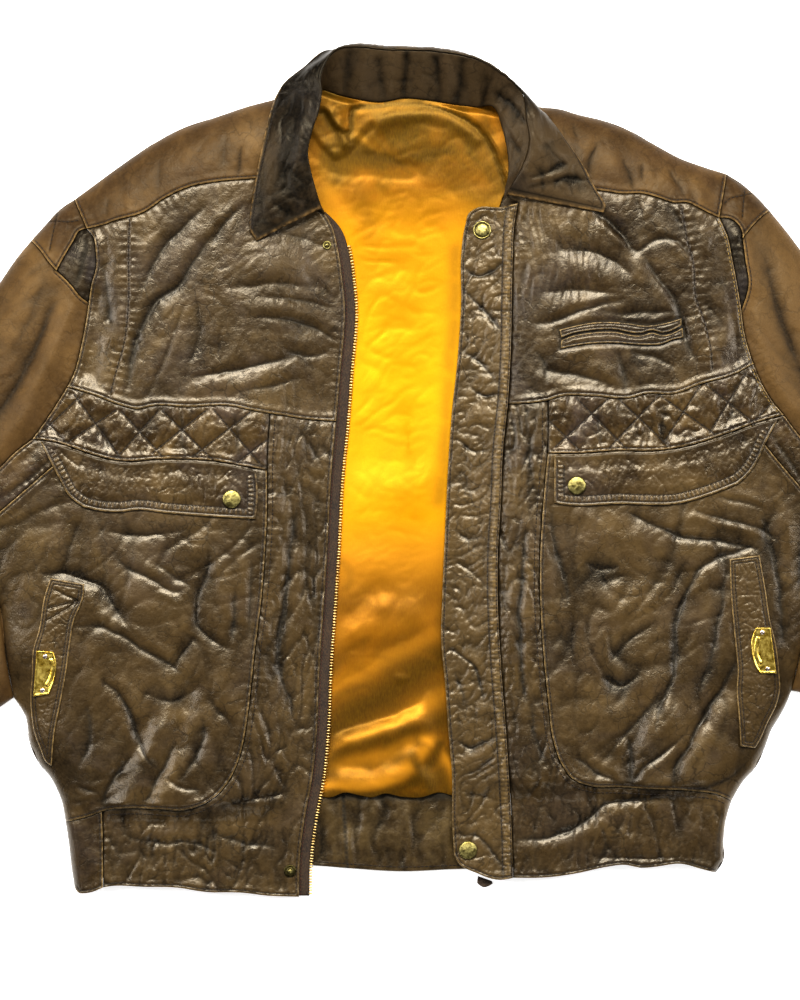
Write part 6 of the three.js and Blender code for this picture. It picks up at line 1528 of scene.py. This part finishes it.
# ---------------------------------------------------------------- cuffs: flattened tubes with gathers
for side, (a, b) in {"l": ((-300, 745), (-190, 838)), "r": ((985, 810), (1098, 715))}.items():
    p, q = mm([a, b])
    c, ex = (p + q) / 2, (q - p) / np.linalg.norm(q - p)
    ey = np.array([-ex[1], ex[0]])
    n, m = 190, 28
    t = np.linspace(0, 1, n, endpoint=False)
    per = []
    w, h, r = 110.0, 13.0, 5.6
    corner = [(w / 2 - r, h / 2 - r, 0), (-w / 2 + r, h / 2 - r, 1), (-w / 2 + r, -h / 2 + r, 2), (w / 2 - r, -h / 2 + r, 3)]
    for cx, cz, k in corner:
        for e in np.linspace(0, 1, 8):
            z = (k + e) * math.pi / 2
            per.append((cx + r * math.cos(z), cz + r * math.sin(z)))
    per = np.array(per + per[:1])
    s = np.r_[0, np.cumsum(np.hypot(*np.diff(per, axis=0).T))]
    px, pz = np.interp(t * s[-1], s, per[:, 0]), np.interp(t * s[-1], s, per[:, 1])
    depth = np.linspace(0.6, 56.6, m)
    X = px[:, None] * np.ones(m)
    D = np.ones(n)[:, None] * depth
    Z = pz[:, None] * np.ones(m) + 7.5
    G = np.zeros((n, m, 3))
    out = -ey if side == "l" else -ey
    xy = c + X[..., None] * ex + D[..., None] * out
    G[..., :2] = xy
    G[..., 2] = Z
    top_side = np.clip((Z - 4) / 6, 0, 1)
    rel = (0.9 * noise(X / 7, D / 60, 95) + 0.35 * crumple(X, D, 9, 96, 1.6, 90)) * top_side * ease((D - 2) / 8) * ease((58 - D) / 8)
    end = 56.6 - D
    g = np.exp(-((end - 4) / 0.8)**2) + np.exp(-((D - 2.5) / 0.8)**2)
    # the sunk lines at both ends of the cuff are painted dark as shade
    o = slab("cuff_" + side, G, 1.6, MATT, rel - 0.35 * g * top_side, {"relief": rel, "rim": np.exp(-(end / 1.4)**2) + 0.6 * np.exp(-(D / 1.4)**2), "groove": 0.9 * g}, closed_u=True)
    declare(o, ["cuff_" + side], "leather_matte")
    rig.sheet(o, flat=(0.235, 0.057), held="folded", rests_on=["sleeve_under_" + side])
    sheets["cuff_" + side] = [0.235, 0.057, 0.0134]

# ---------------------------------------------------------------- the zip
Z = smooth(mm(zipL), 1.2)
t = np.gradient(Z, axis=0)
t /= np.hypot(*t.T)[:, None]
nz = np.column_stack((-t[:, 1], t[:, 0]))
cols = np.array([-8.2, -6.5, -5, -3.5, -2, -0.8, 0.2, 0.9, 1.5, 2.1, 2.6])
lift = np.array([-0.2, -0.1, 0, 0.05, 0.1, 0.1, 0.05, 0.35, 0.55, 0.35, 0.0])
sl = np.r_[0, np.cumsum(np.hypot(*np.diff(Z, axis=0).T))]
G = np.zeros((len(Z), len(cols), 3))
G[..., :2] = Z[:, None] + nz[:, None] * cols[None, :, None]
G[..., 2] = 6.35 + lift[None] + 0.22 * np.sin(sl / 19)[:, None] + 0.12 * noise(sl / 7, sl * 0, 97)[:, None]
G = G[::-1]
o = slab("zip_tape_l", G, 0.7, TAPE)
declare(o, ["zip_tape_l"], "zip_tape")
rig.sheet(o, flat=(0.014, 0.57), held="laid", rests_on=["back_lining"], area=0.0068)
sheets["zip_tape_l"] = [0.014, 0.57, 0.0068]
stitch_row((Z + nz * -4.4)[20:], lambda P: np.full(len(P), 6.75), "red", pitch=3.0, length=2.1, r=0.28)

# one tooth: a rounded block with a head, then an array of them
tx, tw, th = 3.0, 0.74, 1.3
prof = [(-1.5, 0.55, 0.7), (-1.2, 0.72, 1.05), (0.2, 0.72, 1.2), (0.9, 0.50, 1.15), (1.35, 0.42, 0.9), (1.5, 0.22, 0.5)]
TV, TF = [], []
for x, w, h in prof:
    for k in range(8):
        a = 2 * math.pi * (k + 0.5) / 8
        TV.append((x, w * max(-1, min(1, 1.3 * math.cos(a))), h * max(-1, min(1, 1.3 * math.sin(a)))))
for i in range(len(prof) - 1):
    for k in range(8):
        TF.append((i * 8 + (k + 1) % 8, i * 8 + k, (i + 1) * 8 + k, (i + 1) * 8 + (k + 1) % 8))
TV, TF = np.array(TV), np.array(TF)[:, ::-1]
lidA, lidB = np.arange(8)[::-1][None], (np.arange(8) + 40)[None]
q = np.arange(33.0, sl[-1] - 1.5, 2.41)
cx, cy = np.interp(q, sl, Z[:, 0]), np.interp(q, sl, Z[:, 1])
ang = np.interp(q, sl, np.unwrap(np.arctan2(nz[:, 1], nz[:, 0])))
rg = np.random.default_rng(5)
ang = ang + rg.normal(0, 0.03, len(q))
zt = 6.5 + 0.22 * np.sin(q / 19) + rg.normal(0, 0.05, len(q))
ctr = np.column_stack((cx + 3.95 * np.cos(ang), cy + 3.95 * np.sin(ang), zt))
ca, sa = np.cos(ang)[:, None], np.sin(ang)[:, None]
V = np.stack((ctr[:, 0:1] + ca * TV[None, :, 0] - sa * TV[None, :, 1], ctr[:, 1:2] + sa * TV[None, :, 0] + ca * TV[None, :, 1], ctr[:, 2:3] + TV[None, :, 2] * np.ones((len(q), 1))), -1)
k = np.arange(len(q))[:, None, None] * len(TV)
o = mesh("zip_teeth_l", V.reshape(-1, 3), [(TF[None] + k).reshape(-1, 4), (lidA[None] + k).reshape(-1, 8), (lidB[None] + k).reshape(-1, 8)], TEETH)
declare(o, ["zip_teeth_l"], "brass_bright")

# the torn end of the other tape
R = closed([[477,883.5],[480,886],[484,888],[488,887],[493,884],[492,881.5],[478,876.5]], [0, 4, 5, 6], step=0.8)
o = shell("zip_end_r", R, lambda P: (3.7 + 0.7 * noise(P[:, 0] / 2.2, P[:, 1] / 2.2, 98), {}), 1.3, 0.8, TAPE, rims=(0.3, 0.8), rim_r=0.4, low_cell=2)
declare(o, ["zip_end_r"], "zip_tape")
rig.sheet(o, flat=(0.0135, 0.0105), held="laid", rests_on=["placket_r"], area=0.00009)


# ---------------------------------------------------------------- turned metal
def turned(name, u, v, prof, z, mat, seg=72, hammer=0.0, tilt=(0, 0)):
    """A closed turned solid from (radius, height, cavity) rows, first and last on the axis."""
    c = mm([[u, v]])[0]
    V, cav, F, T = [], [], [], []
    inner = [p for p in prof if p[0] > 1e-6]
    for r, h, cv in inner:
        for k in range(seg):
            a = 2 * math.pi * k / seg
            x, y = r * math.cos(a), r * math.sin(a)
            dz = hammer * float(noise(np.array([x / 1.1 + u]), np.array([y / 1.1 + v]), 99)[0]) if r < 6 else 0
            V.append((c[0] + x, c[1] + y, z + h + dz + tilt[0] * x + tilt[1] * y))
            cav.append(cv)
    n = len(inner)
    V += [(c[0], c[1], z + prof[0][1]), (c[0], c[1], z + prof[-1][1])]
    cav += [prof[0][2], prof[-1][2]]
    for i in range(n - 1):
        for k in range(seg):
            F.append((i * seg + k, i * seg + (k + 1) % seg, (i + 1) * seg + (k + 1) % seg, (i + 1) * seg + k))
    b, t_ = n * seg, n * seg + 1
    for k in range(seg):
        T.append((b, (k + 1) % seg, k))
        T.append((t_, (n - 1) * seg + k, (n - 1) * seg + (k + 1) % seg))
    return mesh(name, V, [np.array(F), np.array(T)], mat, {"cavity": cav})


def highest(f, u, v, r):
    c = mm([[u, v]])[0]
    a = np.linspace(0, 2 * np.pi, 24, endpoint=False)
    P = np.vstack([c[None]] + [c + k * r * np.column_stack((np.cos(a), np.sin(a))) for k in (0.4, 0.75, 1.0)])
    z = f(P)
    A = np.column_stack((P - c, np.ones(len(P))))
    s = np.linalg.lstsq(A, z, rcond=None)[0]
    return float(np.percentile(z - (P - c) @ s[:2], 80)), (float(s[0]) * 0.8, float(s[1]) * 0.8)


CAP = [(0, 0.1, 0), (7.0, 0.1, 0.3), (7.5, 0.5, 0.1), (7.6, 1.1, 0), (7.45, 1.7, 0), (7.05, 2.05, 0), (6.6, 2.1, 0), (6.15, 1.85, 0.5), (5.9, 1.55, 1.0), (5.6, 1.6, 1.0), (5.3, 1.9, 0.5), (4.8, 2.15, 0.1), (4.0, 2.4, 0), (3.0, 2.6, 0.05), (2.0, 2.72, 0.1), (1.0, 2.8, 0), (0, 2.82, 0)]
FLAT = [(0, 0.1, 0), (6.9, 0.1, 0.3), (7.5, 0.6, 0.1), (7.6, 1.2, 0), (7.3, 1.9, 0), (6.8, 2.25, 0), (6.2, 2.4, 0.05), (5.0, 2.6, 0.1), (3.6, 2.75, 0.05), (2.0, 2.85, 0), (0, 2.9, 0)]
flapf = {}
for nm, pts, corners, lift_, thick, stitch, cell in OVERLAYS[:2]:
    flapf[nm] = lambda P, l=lift_: base(P) + l + 0.4
for nm, u, v, f, prof in [("snap_flap_l", 232, 499, flapf["flap_l"], FLAT), ("snap_flap_r", 576.5, 485.5, flapf["flap_r"], FLAT),
                          ("snap_placket_top", 482, 230, lambda P: top("placket_r", P)[0], CAP), ("snap_placket_bottom", 468, 850, lambda P: top("placket_r", P)[0], FLAT)]:
    z, tl = highest(f, u, v, 7.6)
    o = turned(nm, u, v, prof, z - 0.1, OLD, hammer=0.16, tilt=tl)
    declare(o, [nm], "brass_antique")
z, tl = highest(lambda P: top("front_upper_l", P)[0], 327, 245, 3.7)
o = turned("stud_neck_l", 327, 245, [(0, 0, 0), (3.3, 0, 0.6), (3.7, 0.5, 0.5), (3.6, 1.0, 0.2), (2.9, 1.3, 0.3), (2.3, 1.0, 1), (1.9, 1.1, 0.9), (1.6, 1.8, 0.1), (1.0, 2.3, 0), (0, 2.45, 0)], z - 0.1, OLD, seg=40, tilt=tl)
declare(o, ["stud_neck_l"], "brass_antique")
z, tl = highest(lambda P: top("front_band_l", P)[0], 290, 871, 5.2)
o = turned("stud_hem_l", 290, 871, [(0, 0, 0), (4.8, 0, 0.8), (5.2, 0.5, 0.9), (5.1, 1.0, 0.9), (4.3, 1.3, 1.0), (3.1, 1.1, 1.0), (2.3, 1.1, 0.8), (2.0, 2.0, 0.0), (1.5, 2.7, 0), (0.8, 3.0, 0), (0, 3.05, 0)], z - 0.1, OLD, seg=48, tilt=tl)
declare(o, ["stud_hem_l"], "brass_antique")

# plates: flat brass with a rolled edge, a raised bar and two domed rivets
for side, pts, corners, bar, rv in (("l", [[37,650],[54,651],[57,662],[56,677],[50,694],[33.5,696]], [0, 1, 4, 5], [[52,660],[53.5,668],[52,676],[48,684]], [("top", 46, 656), ("bottom", 43, 690)]),
                                    ("r", [[755,627],[770,627],[776,673],[759,673],[753.5,664],[751,655],[750,644],[751.5,636]], [0, 1, 2, 3], [[757,638],[755.5,646],[756,655],[759,662]], [("top", 761.5, 632), ("bottom", 767, 668.5)])):
    R = closed(pts, corners, step=0.7)
    Q = grid_points(R if area(R) > 0 else R[::-1], 2.0)
    zq = base(Q) + 3.6
    A = np.column_stack((Q, np.ones(len(Q))))
    pl = np.linalg.lstsq(A, zq, rcond=None)[0]
    up = float(np.percentile(zq - A @ pl, 85))
    LR = np.vstack((R, R[:1]))
    B = smooth(mm(bar), 0.8)

    def plate_top(P, pl=pl, LR=LR, B=B, up=up):
        d = near(P, LR)[0]
        b = near(P, B)[0]
        h = 0.35 * np.exp(-((d - 0.9) / 0.5).clip(-9, 9)**2) + 0.55 * rnd(np.clip((1.5 - b) / 1.2, 0, 1)) - 0.18 * np.exp(-((b - 2.0) / 0.5).clip(-9, 9)**2)
        return P @ pl[:2] + pl[2] + 0.3 * up + h, {"cavity": 0.7 * np.exp(-((d - 1.9) / 0.5).clip(-9, 9)**2) + 0.8 * np.exp(-((b - 2.0) / 0.6).clip(-9, 9)**2)}

    o = shell("plate_" + side, R, plate_top, 1.2, 0.6, BRASS, rims=(0.1, 0.3, 0.6, 0.9, 1.3), rim_r=0.5, low_cell=2.5)
    declare(o, ["plate_" + side], "brass_bright")
    for nm, u, v in rv:
        c = mm([[u, v]])
        z = float(plate_top(c)[0][0])
        o = turned(f"rivet_{side}_{nm}", u, v, [(0, -0.2, 0), (1.9, -0.2, 0.8), (2.1, 0.2, 0.4), (2.0, 0.55, 0), (1.5, 0.9, 0), (0.8, 1.1, 0), (0, 1.15, 0)], z, NICKEL, seg=32, tilt=(float(pl[0]), float(pl[1])))
        declare(o, [f"rivet_{side}_{nm}"], "brass_bright")

# all the stitching
for nm, kind, mt in (("stitches_dark", "dark", DARK_YARN), ("stitches_ochre", "pale", PALE_YARN), ("stitches_russet", "red", RED_YARN)):
    o = sew(nm, kind, mt)
    if o:
        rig.ride(o, "root")
        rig.slot(o, "leather_main")

# ---------------------------------------------------------------- floor, lights, camera
m, N, L, bsdf = new_mat("pale_floor")
bsdf.inputs["Roughness"].default_value = 0.9
bsdf.inputs["Specular IOR Level"].default_value = 0.1
L.new(ramp(N, L, tex(N, L, 3, 2).outputs["Fac"], [(0.3, (0.93, 0.93, 0.93, 1)), (0.7, (0.95, 0.95, 0.95, 1))]), bsdf.inputs["Base Color"])
bsdf.inputs["Emission Color"].default_value = (1, 1, 1, 1)
bsdf.inputs["Emission Strength"].default_value = 0.62
fm = bpy.data.meshes.new("floor")
fm.from_pydata([(-6, -6, -0.0004), (6, -6, -0.0004), (6, 6, -0.0004), (-6, 6, -0.0004)], [], [(0, 1, 2, 3)])
fm.materials.append(m)
floor = bpy.data.objects.new("floor", fm)
bpy.context.scene.collection.objects.link(floor)
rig.stage(floor)

w = bpy.data.worlds.new("studio")
bpy.context.scene.world = w
w.use_nodes = True
w.node_tree.nodes["Background"].inputs[0].default_value = (1, 1, 1, 1)
w.node_tree.nodes["Background"].inputs[1].default_value = 0.06


def lamp(name, at, to, size, energy, color=(1, 1, 1)):
    d = bpy.data.lights.new(name, "AREA")
    d.shape, d.size, d.size_y, d.energy, d.color = "RECTANGLE", size[0], size[1], energy, color
    o = bpy.data.objects.new(name, d)
    bpy.context.scene.collection.objects.link(o)
    o.location = at
    o.rotation_euler = (Vector(to) - Vector(at)).to_track_quat("-Z", "Y").to_euler()
    return o


lamp("key", (-0.12, 1.25, 2.2), (0, 0, 0), (1.7, 0.6), 90, (1.0, 0.97, 0.92))
lamp("side_l", (-1.7, 0.2, 1.3), (0, 0, 0), (0.5, 1.4), 19, (0.98, 0.97, 1.0))
lamp("side_r", (1.7, 0.3, 1.3), (0, 0, 0), (0.5, 1.4), 19, (0.98, 0.97, 1.0))
lamp("low", (0.2, -1.8, 1.6), (0, 0, 0), (1.2, 0.4), 5)

cam = bpy.data.cameras.new("camera")
co = bpy.data.objects.new("camera", cam)
bpy.context.scene.collection.objects.link(co)
cx, cy, height, plane = 0.00145, -0.02433, 6.0, 0.012
co.location = (cx, cy, height)
co.rotation_euler = (0, 0, 0)
cam.sensor_fit = "VERTICAL"
cam.sensor_height = 36.0
cam.lens = 36.0 * (height - plane) / 0.820
cam.clip_end = 30
bpy.context.scene.camera = co
bpy.context.scene.view_settings.view_transform = "Standard"
bpy.context.scene.view_settings.gamma = 0.82
bpy.context.scene.view_settings.exposure = 0.31
